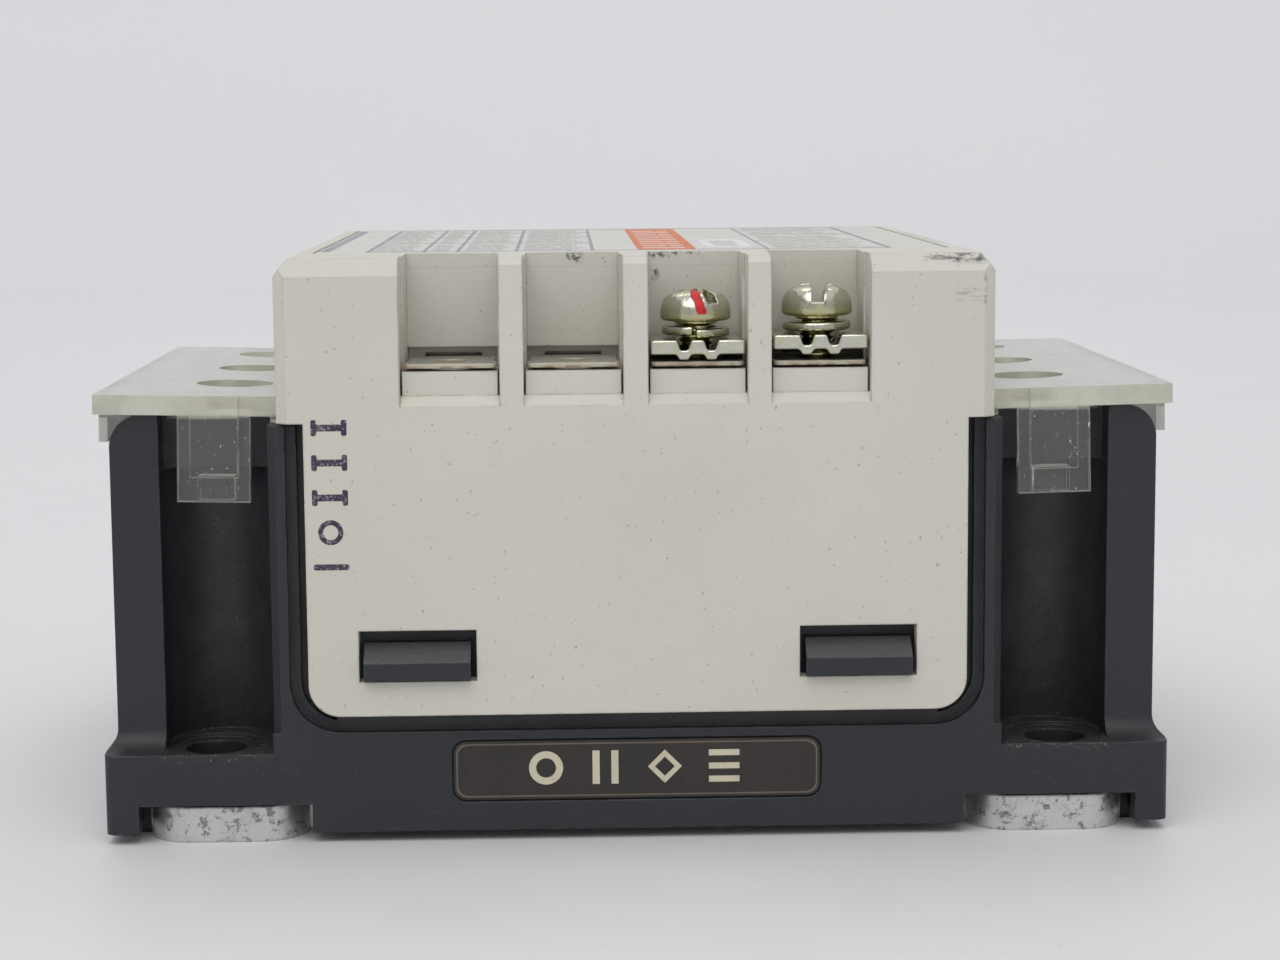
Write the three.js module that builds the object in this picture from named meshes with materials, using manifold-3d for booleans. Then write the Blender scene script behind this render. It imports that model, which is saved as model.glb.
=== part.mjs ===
// Three-phase solid state relay for panel mounting. Millimetres, +Z up, control terminals facing -Y.
// The origin is the middle of the bounding box's bottom face, which the aluminium base plate rests on.
import * as THREE from 'three';
import { mergeVertices } from 'three/addons/utils/BufferGeometryUtils.js';
import Module from 'manifold-3d';

const wasm = await Module();
wasm.setup();

// ---------------------------------------------------------------- driving dimensions
const HOUSING_DEPTH = 81.5;                 // white housing, front face to rear face
const FRONT = -HOUSING_DEPTH / 2;
const GAP = 0.3;                            // clearance between pieces that touch

const WALL = 2.2;                           // white housing wall
const BODY_HALF = 32.94;                    // lower body of the housing
const SHOULDER_HALF = 35.66;                // wider upper body of the housing
const BODY_BOTTOM = 13.26;
const SHOULDER_BOTTOM = 42.68;
const HOUSING_TOP = 58.9;
const BODY_CORNER = 3.2;
const TOP_BEVEL = [1.4, 1.75];              // run and drop of the bevel round the top
const EDGE_CHAMFER = 1.1;                   // upright corners of the housing

const SLOT_CENTRES = [-18.42, -6.19, 6.13, 18.32];
const SLOT_WIDTH = 9.86;
const SLOT_DEPTH = 10.8;
const SLOT_FLOOR = 45.25;
const SILL_DROP = 0.97;                     // bevel on the slot's front sill
const PEDESTAL_TOP = 47.65;
const TERMINAL_TOP = 48.4;
const STRIP_TAIL = 2.6;                     // half width of a control terminal behind its slot
const CONTROL_SCREW_SETBACK = 5.5;

const WINDOW_X = [16.16, 27.88];            // snap windows in the housing's front and rear walls
const WINDOW_Z = [16.74, 21.91];

const FRAME_SETBACK = 1.6;                  // black frame's front face, behind the housing's
const FLANGE_HALF = 53.86;
const FLANGE_BOTTOM = 1.05;
const FLANGE_TOP = 9.19;
const RECESS_FLOOR = 11.3;                  // floor of the groove round the housing
const RIDGE_X = [34.96, 36.75];
const RIDGE_TOP = 42.3;
const COLUMN_X = [48.0, 52.9];
const COLUMN_SETBACK = 5.5;
const COLUMN_TOP = 43.25;
const COLUMN_CORNER = 3.3;
const BARRIER_TOP = 42.6;
const LIP_SETBACK = 8.8;                    // wall above the mounting channel
const LIP_BOTTOM = 37.5;
const LIP_THICKNESS = 1.5;
const SHELF_RISE = 1.2;                     // shelf behind the lip, above the lip's bottom edge
const REAR_WALL_SETBACK = 64.2;             // wall above a rear channel
const REAR_LEDGE = 34.2;
const CHANNEL_RADIUS = (COLUMN_X[0] - RIDGE_X[1]) / 2;
const CHANNEL_AXIS = (COLUMN_X[0] + RIDGE_X[1]) / 2;
const FOOT_FLARE = 2.4;                     // concave flare where a column meets the flange
const TUB_HALF = 30.4;
const TUB_WALL = 2.0;
const TUB_TOP = 24.0;
const TUB_MARGIN = 2.5;                     // from the housing's front and rear faces
const PILOT_RADIUS = 1.7;
const FRAME_SCREW_X = 46.2;
const FRAME_SCREW_SETBACKS = [28, 53.5];
const POST_HALF = [2.1, 2.4];
const BOARD_POST_SPOTS = [[26.3, 28], [-26.3, 47]];

const POLE_SETBACKS = [18.5, 37.5, 56.5];   // main terminal screws, behind the housing's front
const MAIN_SCREW_X = 41.7;
const BAY_INNER = 36.8;
const PLATFORM_Z = 32.5;
const BAYS = [[13.2, 26.9], [29.1, 45.9], [48.1, 62.6]];
const LEG_X = [37.3, 38.3];                 // main terminal's upright leg
const LEG_HALF = 4.3;
const PAD_HALF = 5.1;
const PAD_OUTER = 47.4;
const FOOT_INNER = 13.3;
const FOOT_Z = [5.25, 6.25];
const TERMINAL_THICKNESS = 1.2;

const MOUNT_HOLE_X = 43.15;
const MOUNT_HOLE_SETBACK = 7.1;
const MOUNT_HOLE_RADIUS = 3.2;
const SEAT_RADIUS = 4.9;                    // shallow round seat for the mounting screw's washer
const SEAT_DEPTH = 0.4;

const PLATE_THICKNESS = 3.65;
const PLATE_HALF = 51.1;
const LUG_X = [33.9, 49.8];
const LUG_SETBACK = 2.3;
const LUG_REAR = 16;
const LUG_CORNER = 4.5;
const PLATE_MARGIN = 7.0;                   // main plate, from the housing's front and rear faces

const COVER_X = [35.95, 54.25];
const COVER_Y = [4.25, 66.2];
const COVER_THICKNESS = 2.0;
const COVER_HOLE_RADIUS = 4.0;
const COVER_BOTTOM = 43.46;                 // at the outer edge
const COVER_TILT = THREE.MathUtils.degToRad(1.3);

// ---------------------------------------------------------------- solids and meshes
const behind = (setback) => FRONT + setback;            // Y of a point behind the front face
const behindRange = ([a, b]) => [behind(a), behind(b)];
const insetDepth = (margin) => behindRange([margin, HOUSING_DEPTH - margin]);
const grown = ([a, b], by) => [a - by, b + by];
const around = (centre, half) => [centre - half, centre + half];

function solid(geometry) {
  const bare = geometry.clone();
  bare.deleteAttribute('normal');
  bare.deleteAttribute('uv');
  const merged = mergeVertices(bare, 1e-4);
  const triVerts = new Uint32Array(merged.index.array);
  return new wasm.Manifold(new wasm.Mesh({
    numProp: 3,
    vertProperties: new Float32Array(merged.attributes.position.array),
    triVerts,
  }));
}

function block([x0, x1], [y0, y1], [z0, z1]) {
  const geometry = new THREE.BoxGeometry(x1 - x0, y1 - y0, z1 - z0);
  geometry.translate((x0 + x1) / 2, (y0 + y1) / 2, (z0 + z1) / 2);
  return solid(geometry);
}

function rod(radius, [z0, z1], x = 0, y = 0, segments = 16) {
  const geometry = new THREE.CylinderGeometry(radius, radius, z1 - z0, segments);
  geometry.rotateX(Math.PI / 2);
  geometry.translate(x, y, (z0 + z1) / 2);
  return solid(geometry);
}

function extrude(shape, length, segments) {
  return new THREE.ExtrudeGeometry(shape, { depth: length, bevelEnabled: false, curveSegments: segments });
}

// The shape is drawn in X and Y.
function prismZ(shape, [z0, z1], segments = 6) {
  const geometry = extrude(shape, z1 - z0, segments);
  geometry.translate(0, 0, z0);
  return solid(geometry);
}

// The shape is drawn in X and Z.
function prismY(shape, [y0, y1], segments = 6) {
  const geometry = extrude(shape, y1 - y0, segments);
  geometry.rotateX(Math.PI / 2);
  geometry.translate(0, y1, 0);
  return solid(geometry);
}

// The shape is drawn in Y and Z.
function prismX(shape, [x0, x1], segments = 6) {
  const geometry = extrude(shape, x1 - x0, segments);
  const turn = new THREE.Matrix4().makeBasis(
    new THREE.Vector3(0, 1, 0), new THREE.Vector3(0, 0, 1), new THREE.Vector3(1, 0, 0));
  geometry.applyMatrix4(turn);
  geometry.translate(x0, 0, 0);
  return solid(geometry);
}

function lathe(points, segments) {
  const profile = points.map(([r, z]) => new THREE.Vector2(r, z));
  const geometry = new THREE.LatheGeometry(profile, segments);
  geometry.rotateX(Math.PI / 2);
  return solid(geometry);
}

function polygon(points) {
  return new THREE.Shape(points.map(([a, b]) => new THREE.Vector2(a, b)));
}

function roundedRectangle([x0, x1], [y0, y1], radius) {
  const shape = new THREE.Shape();
  shape.moveTo(x0 + radius, y0);
  shape.lineTo(x1 - radius, y0);
  shape.absarc(x1 - radius, y0 + radius, radius, -Math.PI / 2, 0);
  shape.lineTo(x1, y1 - radius);
  shape.absarc(x1 - radius, y1 - radius, radius, 0, Math.PI / 2);
  shape.lineTo(x0 + radius, y1);
  shape.absarc(x0 + radius, y1 - radius, radius, Math.PI / 2, Math.PI);
  shape.lineTo(x0, y0 + radius);
  shape.absarc(x0 + radius, y0 + radius, radius, Math.PI, Math.PI * 1.5);
  return shape;
}

function joined(bodies) {
  return bodies.reduce((sum, body) => sum.add(body));
}

// Changes every vertex by the signs given; an odd number of minus signs turns the faces over.
function flipped(body, [sx, sy]) {
  const { vertProperties, triVerts } = body.getMesh();
  const points = vertProperties.map((value, i) => value * [sx, sy, 1][i % 3]);
  const order = sx * sy < 0 ? [0, 2, 1] : [0, 1, 2];
  const faces = triVerts.map((_, i) => triVerts[i - (i % 3) + order[i % 3]]);
  return new wasm.Manifold(new wasm.Mesh({ numProp: 3, vertProperties: points, triVerts: faces }));
}

const leftAndRight = (body) => body.add(flipped(body, [-1, 1]));
const frontAndRear = (body) => body.add(flipped(body, [1, -1]));

const relay = new THREE.Group();

function meshGeometry(body) {
  const { vertProperties, triVerts } = body.getMesh();
  const geometry = new THREE.BufferGeometry();
  geometry.setAttribute('position', new THREE.BufferAttribute(vertProperties, 3));
  geometry.setIndex(new THREE.BufferAttribute(triVerts, 1));
  return geometry;
}

const moved = (body, [x, y, z]) => solid(meshGeometry(body).translate(x, y, z));

function place(name, body, material, { position = [0, 0, 0], turn = 0, tilt = 0 } = {}) {
  const geometry = meshGeometry(body);
  geometry.computeVertexNormals();
  const mesh = new THREE.Mesh(geometry, material());
  mesh.name = name;
  mesh.position.set(...position);
  mesh.rotation.set(0, tilt, turn);
  relay.add(mesh);
}

// ---------------------------------------------------------------- materials
const surface = (color, roughness, metalness) => () => (
  new THREE.MeshStandardMaterial({ color, roughness, metalness }));
const whitePlastic = surface(0xd6d4ca, 0.55, 0);
const blackPlastic = surface(0x3a3c40, 0.6, 0);
const aluminium = surface(0xb8b9bb, 0.45, 0.9);
const zincSteel = surface(0xb9b79a, 0.3, 0.9);
const tinPlate = surface(0x9c988c, 0.5, 0.8);
const brightCopper = surface(0xb9a184, 0.4, 0.8);
const labelPlastic = surface(0x2f2a26, 0.4, 0);
const nameplateFilm = surface(0xd9d8d6, 0.4, 0);
const alumina = surface(0xe6e4de, 0.5, 0);
const mouldedResin = surface(0x1d1d1f, 0.5, 0);
const circuitLaminate = surface(0x2f6b45, 0.45, 0);
const filmYellow = surface(0xc9a23a, 0.45, 0);
const varistorBlue = surface(0x2c4f8c, 0.5, 0);

function clearPlastic() {
  const material = surface(0xe9ead9, 0.15, 0)();
  material.transparent = true;
  material.opacity = 0.35;
  return material;
}

// ---------------------------------------------------------------- white housing
function housingSection(inset) {
  const body = BODY_HALF - inset;
  const shoulder = SHOULDER_HALF - inset;
  const bottom = inset ? BODY_BOTTOM - 1 : BODY_BOTTOM;
  const corner = inset ? 0.01 : BODY_CORNER;
  const step = SHOULDER_BOTTOM + inset;
  const top = HOUSING_TOP - inset;
  const shape = new THREE.Shape();
  shape.moveTo(-body + corner, bottom);
  shape.lineTo(body - corner, bottom);
  shape.absarc(body - corner, bottom + corner, corner, -Math.PI / 2, 0);
  shape.lineTo(body, step);
  shape.lineTo(shoulder, step);
  shape.lineTo(shoulder, top - TOP_BEVEL[1]);
  shape.lineTo(shoulder - TOP_BEVEL[0], top);
  shape.lineTo(-shoulder + TOP_BEVEL[0], top);
  shape.lineTo(-shoulder, top - TOP_BEVEL[1]);
  shape.lineTo(-shoulder, step);
  shape.lineTo(-body, step);
  shape.lineTo(-body, bottom + corner);
  shape.absarc(-body + corner, bottom + corner, corner, Math.PI, Math.PI * 1.5);
  return shape;
}

function topBevelCutter(run, drop, xRange) {
  const outside = 1;
  return prismX(polygon([
    [FRONT - outside, HOUSING_TOP - drop - outside * (drop / run)],
    [FRONT + run, HOUSING_TOP],
    [FRONT + run, HOUSING_TOP + outside],
    [FRONT - outside, HOUSING_TOP + outside],
  ]), xRange);
}

function housingShell() {
  const chamfer = EDGE_CHAMFER;
  const plan = polygon([
    [-SHOULDER_HALF + chamfer, FRONT], [SHOULDER_HALF - chamfer, FRONT],
    [SHOULDER_HALF, FRONT + chamfer], [SHOULDER_HALF, -FRONT - chamfer],
    [SHOULDER_HALF - chamfer, -FRONT], [-SHOULDER_HALF + chamfer, -FRONT],
    [-SHOULDER_HALF, -FRONT - chamfer], [-SHOULDER_HALF, FRONT + chamfer],
  ]);
  const bankHalf = SLOT_CENTRES[3] + SLOT_WIDTH / 2;
  const edge = SHOULDER_HALF + 1;
  return prismY(housingSection(0), [FRONT, -FRONT], 8)
    .intersect(prismZ(plan, [BODY_BOTTOM - 1, HOUSING_TOP + 1]))
    .subtract(topBevelCutter(TOP_BEVEL[0], TOP_BEVEL[1], [-edge, -bankHalf]))
    .subtract(topBevelCutter(TOP_BEVEL[0], TOP_BEVEL[1], [bankHalf, edge]))
    .subtract(topBevelCutter(0.7, 0.75, [-edge, edge]))
    .subtract(flipped(topBevelCutter(TOP_BEVEL[0], TOP_BEVEL[1], [-edge, edge]), [1, -1]))
    .subtract(prismY(housingSection(WALL), [FRONT + WALL, -FRONT - WALL]));
}

function slotCutter(centre) {
  const half = SLOT_WIDTH / 2;
  const step = 0.25;                        // the rear part of a slot is a little narrower
  const above = HOUSING_TOP + 1;
  const mouth = block([centre - half, centre + half], [behind(-1), behind(5)], [SLOT_FLOOR, above]);
  const rear = block([centre - half + step, centre + half - step],
    [behind(4), behind(SLOT_DEPTH)], [SLOT_FLOOR, above]);
  const sill = prismX(polygon([
    [behind(-1), SLOT_FLOOR - 2 * SILL_DROP],
    [behind(1), SLOT_FLOOR],
    [behind(1), SLOT_FLOOR + 1],
    [behind(-1), SLOT_FLOOR + 1],
  ]), [centre - half, centre + half]);
  return joined([mouth, rear, sill]);
}

function pedestal(centre) {
  const half = SLOT_WIDTH / 2 - 0.2;
  return block([centre - half, centre + half], behindRange([1.2, SLOT_DEPTH + 0.5]), [44.5, PEDESTAL_TOP]);
}

// Shallow notch behind a control terminal, and the way its strip goes on into the housing.
function terminalPassage(centre) {
  const near = SLOT_DEPTH - 0.5;
  const notch = block(around(centre, 4.68), behindRange([near, SLOT_DEPTH + 1.3]), [PEDESTAL_TOP, 49.35]);
  const passage = block(around(centre, STRIP_TAIL + GAP), behindRange([near, SLOT_DEPTH + 3]),
    [PEDESTAL_TOP, TERMINAL_TOP + GAP]);
  return notch.add(passage);
}

function housing() {
  const bank = block([-25.6, 25.6], behindRange([1, SLOT_DEPTH + 2]), [43.0, HOUSING_TOP - 1]);
  let body = housingShell().add(bank);
  for (const centre of SLOT_CENTRES) {
    const y = behind(CONTROL_SCREW_SETBACK);
    body = body.subtract(slotCutter(centre)).add(pedestal(centre))
      .subtract(rod(2.1, [43.7, PEDESTAL_TOP + 1], centre, y))
      .subtract(terminalPassage(centre));
  }
  const window = block(WINDOW_X, [FRONT - 1, FRONT + WALL + 1], WINDOW_Z);
  const nameplateRecess = block([-32.9, 32.9], behindRange([13.6, 79.6]), [58.25, HOUSING_TOP + 1]);
  return body.subtract(frontAndRear(leftAndRight(window))).subtract(nameplateRecess);
}

// ---------------------------------------------------------------- black frame
function ridge() {
  const [inner, outer] = RIDGE_X;
  const front = FRONT + FRAME_SETBACK;
  const plan = polygon([
    [inner, front], [inner + 0.89, front], [outer, front + 1.0],
    [outer, -front - 1.0], [inner + 0.89, -front], [inner, -front],
  ]);
  return prismZ(plan, [FLANGE_TOP, RIDGE_TOP]);
}

// One step of the groove round the housing: a cradle open at the top with rounded lower corners.
function grooveStep(half, floor, radius, depth) {
  const outer = RIDGE_X[0] + 0.3;
  const shape = new THREE.Shape();
  shape.moveTo(-outer, FLANGE_TOP - 1);
  shape.lineTo(outer, FLANGE_TOP - 1);
  shape.lineTo(outer, RIDGE_TOP);
  shape.lineTo(half, RIDGE_TOP);
  shape.lineTo(half, floor + radius);
  shape.absarc(half - radius, floor + radius, radius, 0, -Math.PI / 2, true);
  shape.lineTo(-half + radius, floor);
  shape.absarc(-half + radius, floor + radius, radius, -Math.PI / 2, -Math.PI, true);
  shape.lineTo(-half, RIDGE_TOP);
  shape.lineTo(-outer, RIDGE_TOP);
  const front = FRONT + FRAME_SETBACK + depth;
  return prismY(shape, [front, -front], 6);
}

// The lower corners of the groove, rounded to follow the housing's own corners.
function grooveCorner() {
  const radius = 5.0;
  const shape = new THREE.Shape();
  const x = RIDGE_X[0];
  shape.moveTo(x + 0.2, RECESS_FLOOR - 0.2);
  shape.lineTo(x + 0.2, RECESS_FLOOR + radius);
  shape.lineTo(x, RECESS_FLOOR + radius);
  shape.absarc(x - radius, RECESS_FLOOR + radius, radius, 0, -Math.PI / 2, true);
  shape.lineTo(x - radius, RECESS_FLOOR - 0.2);
  return prismY(shape, [FRONT + FRAME_SETBACK, FRONT + FRAME_SETBACK + 1.2], 6);
}

// Outline of the frame's side seen from the front, rounded at its upper outer corner.
function sideOutline(inner, top) {
  const outer = COLUMN_X[1];
  const shape = new THREE.Shape();
  shape.moveTo(inner, FLANGE_TOP - 1);
  shape.lineTo(outer, FLANGE_TOP - 1);
  shape.lineTo(outer, top - COLUMN_CORNER);
  shape.absarc(outer - COLUMN_CORNER, top - COLUMN_CORNER, COLUMN_CORNER, 0, Math.PI / 2);
  shape.lineTo(inner, top);
  return shape;
}

function column() {
  const shape = sideOutline(COLUMN_X[0] - 0.5, COLUMN_TOP);
  return joined([
    prismY(shape, behindRange([COLUMN_SETBACK, LIP_SETBACK + LIP_THICKNESS]), 6),
    prismY(shape, behindRange([BAYS[2][1], HOUSING_DEPTH - COLUMN_SETBACK]), 6),
  ]);
}

function flangePlan() {
  const front = FRONT + FRAME_SETBACK;
  return roundedRectangle([-FLANGE_HALF, FLANGE_HALF], [front, -front], 1.2);
}

// Concave flare round the foot of the side block, out to the flange's edges.
function footFlare() {
  const top = FLANGE_TOP + FOOT_FLARE;
  const front = FRONT + FRAME_SETBACK;
  const column = FRONT + COLUMN_SETBACK;
  const slab = block([COLUMN_X[0], FLANGE_HALF], [front, -front], [FLANGE_TOP - 1, top])
    .intersect(prismZ(flangePlan(), [FLANGE_TOP - 1.5, top + 1], 4));
  const frontCove = prismX(roundedRectangle([column - 2 * FOOT_FLARE, column], [FLANGE_TOP, top + 5],
    FOOT_FLARE - 0.01), [COLUMN_X[0] - 1, FLANGE_HALF + 1], 4);
  const ahead = block([COLUMN_X[0] - 1, FLANGE_HALF + 1], [front - 1, column - FOOT_FLARE],
    [FLANGE_TOP, top + 1]);
  const sideCove = prismY(roundedRectangle([COLUMN_X[1], COLUMN_X[1] + 4 * FOOT_FLARE],
    [FLANGE_TOP - 0.4, top + 5], FOOT_FLARE - 0.01), [front - 1, -front + 1], 4);
  return slab.subtract(frontAndRear(frontCove.add(ahead))).subtract(sideCove);
}

// Half-round channel over a mounting hole. Its rear wall leans forwards as it rises.
function mountingChannel() {
  const lean = 2.9;
  const axisSetback = 8.8;
  const height = LIP_BOTTOM - FLANGE_TOP;
  const shape = new THREE.Shape();
  shape.moveTo(CHANNEL_AXIS - CHANNEL_RADIUS, -12);
  shape.lineTo(CHANNEL_AXIS + CHANNEL_RADIUS, -12);
  shape.lineTo(CHANNEL_AXIS + CHANNEL_RADIUS, 0);
  shape.absarc(CHANNEL_AXIS, 0, CHANNEL_RADIUS, 0, Math.PI);
  const geometry = extrude(shape, height, 10);
  geometry.applyMatrix4(new THREE.Matrix4().makeShear(0, 0, 0, 0, 0, -lean / height));
  geometry.translate(0, behind(axisSetback), FLANGE_TOP);
  return solid(geometry);
}

function channelAboveLip(setback, bottom) {
  return block([RIDGE_X[1], COLUMN_X[0]], behindRange([-1, setback]), [bottom, COLUMN_TOP + 1]);
}

// Wire bay with the pocket for the terminal's upright leg and its way to the middle of the frame.
function bayCutter([near, far], pole) {
  const top = COLUMN_TOP + 1;
  const y = behind(pole);
  return joined([
    block([BAY_INNER, COLUMN_X[1] + 1], behindRange([near, far]), [PLATFORM_Z, top]),
    rod(2.8, [22.0, PLATFORM_Z + 1], MAIN_SCREW_X, y),
    block(grown(LEG_X, GAP), around(y, LEG_HALF + GAP), [FOOT_Z[0] - GAP, PLATFORM_Z + 1]),
    block([TUB_HALF - TUB_WALL - 1, LEG_X[1] + GAP], around(y, LEG_HALF + GAP),
      [FOOT_Z[0] - GAP, FOOT_Z[1] + 2 * GAP]),
  ]);
}

function snapHook() {
  const root = behind(3);
  return prismX(polygon([
    [root, WINDOW_Z[0] + 0.26], [behind(-1), WINDOW_Z[0] + 0.26], [behind(-1), 18.8],
    [behind(1.4), 20.5], [root, 20.5],
  ]), [WINDOW_X[0] + 0.6, WINDOW_X[1] - 0.5]);
}

function tub() {
  const outer = block([-TUB_HALF, TUB_HALF], insetDepth(TUB_MARGIN), [RECESS_FLOOR - 1, TUB_TOP]);
  const hooks = frontAndRear(leftAndRight(snapHook()));
  return outer.add(hooks);
}

function tubPocket() {
  const half = TUB_HALF - TUB_WALL;
  const pocket = block([-half, half], insetDepth(TUB_MARGIN + TUB_WALL), [3, TUB_TOP + 1]);
  return boardPosts().reduce((body, [x, y]) => body.subtract(boardPost(x, y)), pocket);
}

function boardPosts() {
  return BOARD_POST_SPOTS.map(([x, setback]) => [x, behind(setback)]);
}

function boardPost(x, y) {
  const [halfX, halfY] = POST_HALF;
  const toWall = Math.sign(x) * (TUB_HALF - 1);
  const range = x > 0 ? [x - halfX, toWall] : [toWall, x + halfX];
  return block(range, around(y, halfY), [2, TUB_TOP + 2])
    .subtract(rod(1.3, [12, TUB_TOP + 3], x, y, 10));
}

function frameBlank() {
  const front = FRONT + FRAME_SETBACK;
  const flange = prismZ(flangePlan(), [FLANGE_BOTTOM, FLANGE_TOP], 4);
  const middle = block([-RIDGE_X[1], RIDGE_X[1]], [front, -front], [FLANGE_TOP - 1, RECESS_FLOOR]);
  const groove = joined([
    grooveStep(RIDGE_X[0] - 1.05, RECESS_FLOOR + 1, 4.2, 1.05),
    grooveStep(BODY_HALF + GAP, BODY_BOTTOM - GAP, BODY_CORNER + GAP, 2.05),
  ]);
  const sideBlock = prismY(sideOutline(RIDGE_X[1] - 0.05, BARRIER_TOP), insetDepth(COLUMN_SETBACK), 6);
  const side = joined([ridge(), frontAndRear(grooveCorner()), sideBlock, column(), footFlare()]);
  return joined([flange, middle, groove, leftAndRight(side), tub()]);
}

function frameCutters() {
  const channels = joined([
    mountingChannel(), flipped(mountingChannel(), [1, -1]),
    channelAboveLip(LIP_SETBACK, LIP_BOTTOM - 0.01),
    flipped(channelAboveLip(HOUSING_DEPTH - REAR_WALL_SETBACK, REAR_LEDGE), [1, -1]),
  ]);
  const bays = joined(BAYS.map((bay, i) => bayCutter(bay, POLE_SETBACKS[i])));
  const aboveShelf = block([BAY_INNER, COLUMN_X[1] + 1],
    behindRange([LIP_SETBACK + LIP_THICKNESS, BAYS[0][1]]), [LIP_BOTTOM + SHELF_RISE, COLUMN_TOP + 1]);
  const mountY = behind(MOUNT_HOLE_SETBACK);
  const mountHole = rod(MOUNT_HOLE_RADIUS, [0, FLANGE_TOP + 1], MOUNT_HOLE_X, mountY, 24)
    .add(rod(SEAT_RADIUS, [FLANGE_TOP - SEAT_DEPTH, FLANGE_TOP + 1], MOUNT_HOLE_X, mountY, 32));
  const footNotch = block([33.0, 50.5], behindRange([0, 6]), [0, PLATE_THICKNESS + GAP]);
  const screwPilots = joined(frameScrewSpots().map(([x, y]) => rod(PILOT_RADIUS, [3, 14], x, y, 12)));
  const side = joined([channels, bays, aboveShelf, frontAndRear(mountHole), frontAndRear(footNotch)]);
  const plateRecess = block(grown([-PLATE_HALF, PLATE_HALF], GAP), insetDepth(4.2),
    [0, PLATE_THICKNESS + GAP]);
  return joined([leftAndRight(side), plateRecess, tubPocket(), screwPilots]);
}

function frame() {
  const labelRecess = prismY(roundedRectangle([-18.9, 18.5], [4.0, 10.4], 1.5),
    [FRONT + FRAME_SETBACK - 1, FRONT + FRAME_SETBACK + 0.4], 4);
  return frameBlank().subtract(frameCutters()).subtract(labelRecess);
}

function frontLabel() {
  const face = FRONT + FRAME_SETBACK - 0.05;
  return prismY(roundedRectangle([-18.7, 18.3], [4.2, 10.2], 1.3), [face, face + 0.25], 4);
}

// ---------------------------------------------------------------- base plate
function frameScrewSpots() {
  const spots = [];
  for (const side of [-1, 1]) {
    for (const setback of FRAME_SCREW_SETBACKS) {
      spots.push([side * FRAME_SCREW_X, behind(setback)]);
    }
  }
  return spots;
}

function countersink(x, y) {
  const sink = lathe([[0, -0.5], [3.5, -0.5], [3.5, 0.2], [1.9, 2.0], [1.9, 5], [0, 5]], 12);
  return moved(sink, [x, y, 0]);
}

function basePlate() {
  const inner = block([-PLATE_HALF, PLATE_HALF], insetDepth(PLATE_MARGIN), [0, PLATE_THICKNESS]);
  const lug = prismZ(roundedRectangle(LUG_X, behindRange([LUG_SETBACK, LUG_REAR]), LUG_CORNER),
    [0, PLATE_THICKNESS], 6);
  const hole = rod(MOUNT_HOLE_RADIUS, [-1, PLATE_THICKNESS + 1], MOUNT_HOLE_X,
    behind(MOUNT_HOLE_SETBACK), 24);
  const corners = frontAndRear(leftAndRight(lug));
  const holes = frontAndRear(leftAndRight(hole));
  const sinks = joined(frameScrewSpots().map(([x, y]) => countersink(x, y)));
  return inner.add(corners).subtract(holes).subtract(sinks);
}

function frameScrew() {
  return lathe([[0, 0.25], [3.1, 0.25], [3.1, 0.4], [1.5, 2.2], [1.4, 12], [1.1, 12.6], [0, 12.6]], 12)
    .subtract(block([-0.4, 0.4], [-1.7, 1.7], [-1, 1.5]))
    .subtract(block([-1.7, 1.7], [-0.4, 0.4], [-1, 1.5]));
}

// ---------------------------------------------------------------- clear terminal cover
// Drawn for the right-hand side about its lower inner edge, then tilted up towards the outside.
function terminalCover() {
  const inner = COVER_X[0];
  const width = COVER_X[1] - inner;
  const t = COVER_THICKNESS;
  const x = (value) => value - inner;
  const z = (value) => value - COVER_BOTTOM;
  const [near, far] = behindRange(COVER_Y);
  const plate = block([0, width], [near, far], [0, t]);
  const tab = block([0, 0.6], [near, near + 4], [-0.6, 0.1]);
  const leg = block([x(38.6), x(45.9)], behindRange([4.55, 6.0]), [z(34.7), 0.1]);
  const band = block([x(39.75), x(44.55)], behindRange([3.95, 4.7]), [z(37.25), t - 0.06]);
  const catchBlock = block([x(40.3), x(43.9)], behindRange([5.9, 8.2]), [z(34.7), z(37.25)]);
  const rearLeg = block([x(38.6), x(45.9)], behindRange([64.45, 65.9]), [z(34.7), 0.1]);
  const rearBand = block([x(39.75), x(44.55)], behindRange([65.7, 66.5]), [z(37.25), t - 0.06]);
  const skirt = block([width - 0.9, width], behindRange([8, 62.4]), [z(40.3), 0.1]);
  const body = joined([plate, tab, leg, band, catchBlock, rearLeg, rearBand, skirt]);
  const holes = POLE_SETBACKS.map((setback) => (
    rod(COVER_HOLE_RADIUS, [-1, t + 1], x(MAIN_SCREW_X), behind(setback), 40)));
  return body.subtract(joined(holes));
}

function placeCovers() {
  const drop = (COVER_X[1] - COVER_X[0]) * Math.tan(COVER_TILT);
  const height = COVER_BOTTOM - drop;
  place('right_terminal_cover', terminalCover(), clearPlastic,
    { position: [COVER_X[0], 0, height], tilt: -COVER_TILT });
  place('left_terminal_cover', flipped(terminalCover(), [-1, 1]), clearPlastic,
    { position: [-COVER_X[0], 0, height], tilt: COVER_TILT });
}

// ---------------------------------------------------------------- terminals and their screws
function controlTerminal(centre) {
  const y = behind(CONTROL_SCREW_SETBACK);
  const levels = [PEDESTAL_TOP + 0.25, TERMINAL_TOP];
  const tab = prismZ(roundedRectangle(around(centre, 4.6), behindRange([1.5, 4.6]), 0.5), levels, 3);
  const strip = prismZ(roundedRectangle(around(centre, 4.38), behindRange([3.2, 11.6]), 1.4), levels, 3);
  const tail = block(around(centre, STRIP_TAIL), behindRange([10.0, 15.3]), levels);
  const leg = block(around(centre, 1.5), behindRange([14.8, 15.3]), [26.2, TERMINAL_TOP - 0.1]);
  return joined([tab, strip, tail, leg])
    .subtract(rod(1.95, [TERMINAL_TOP - 2, TERMINAL_TOP + 1], centre, y));
}

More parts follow.
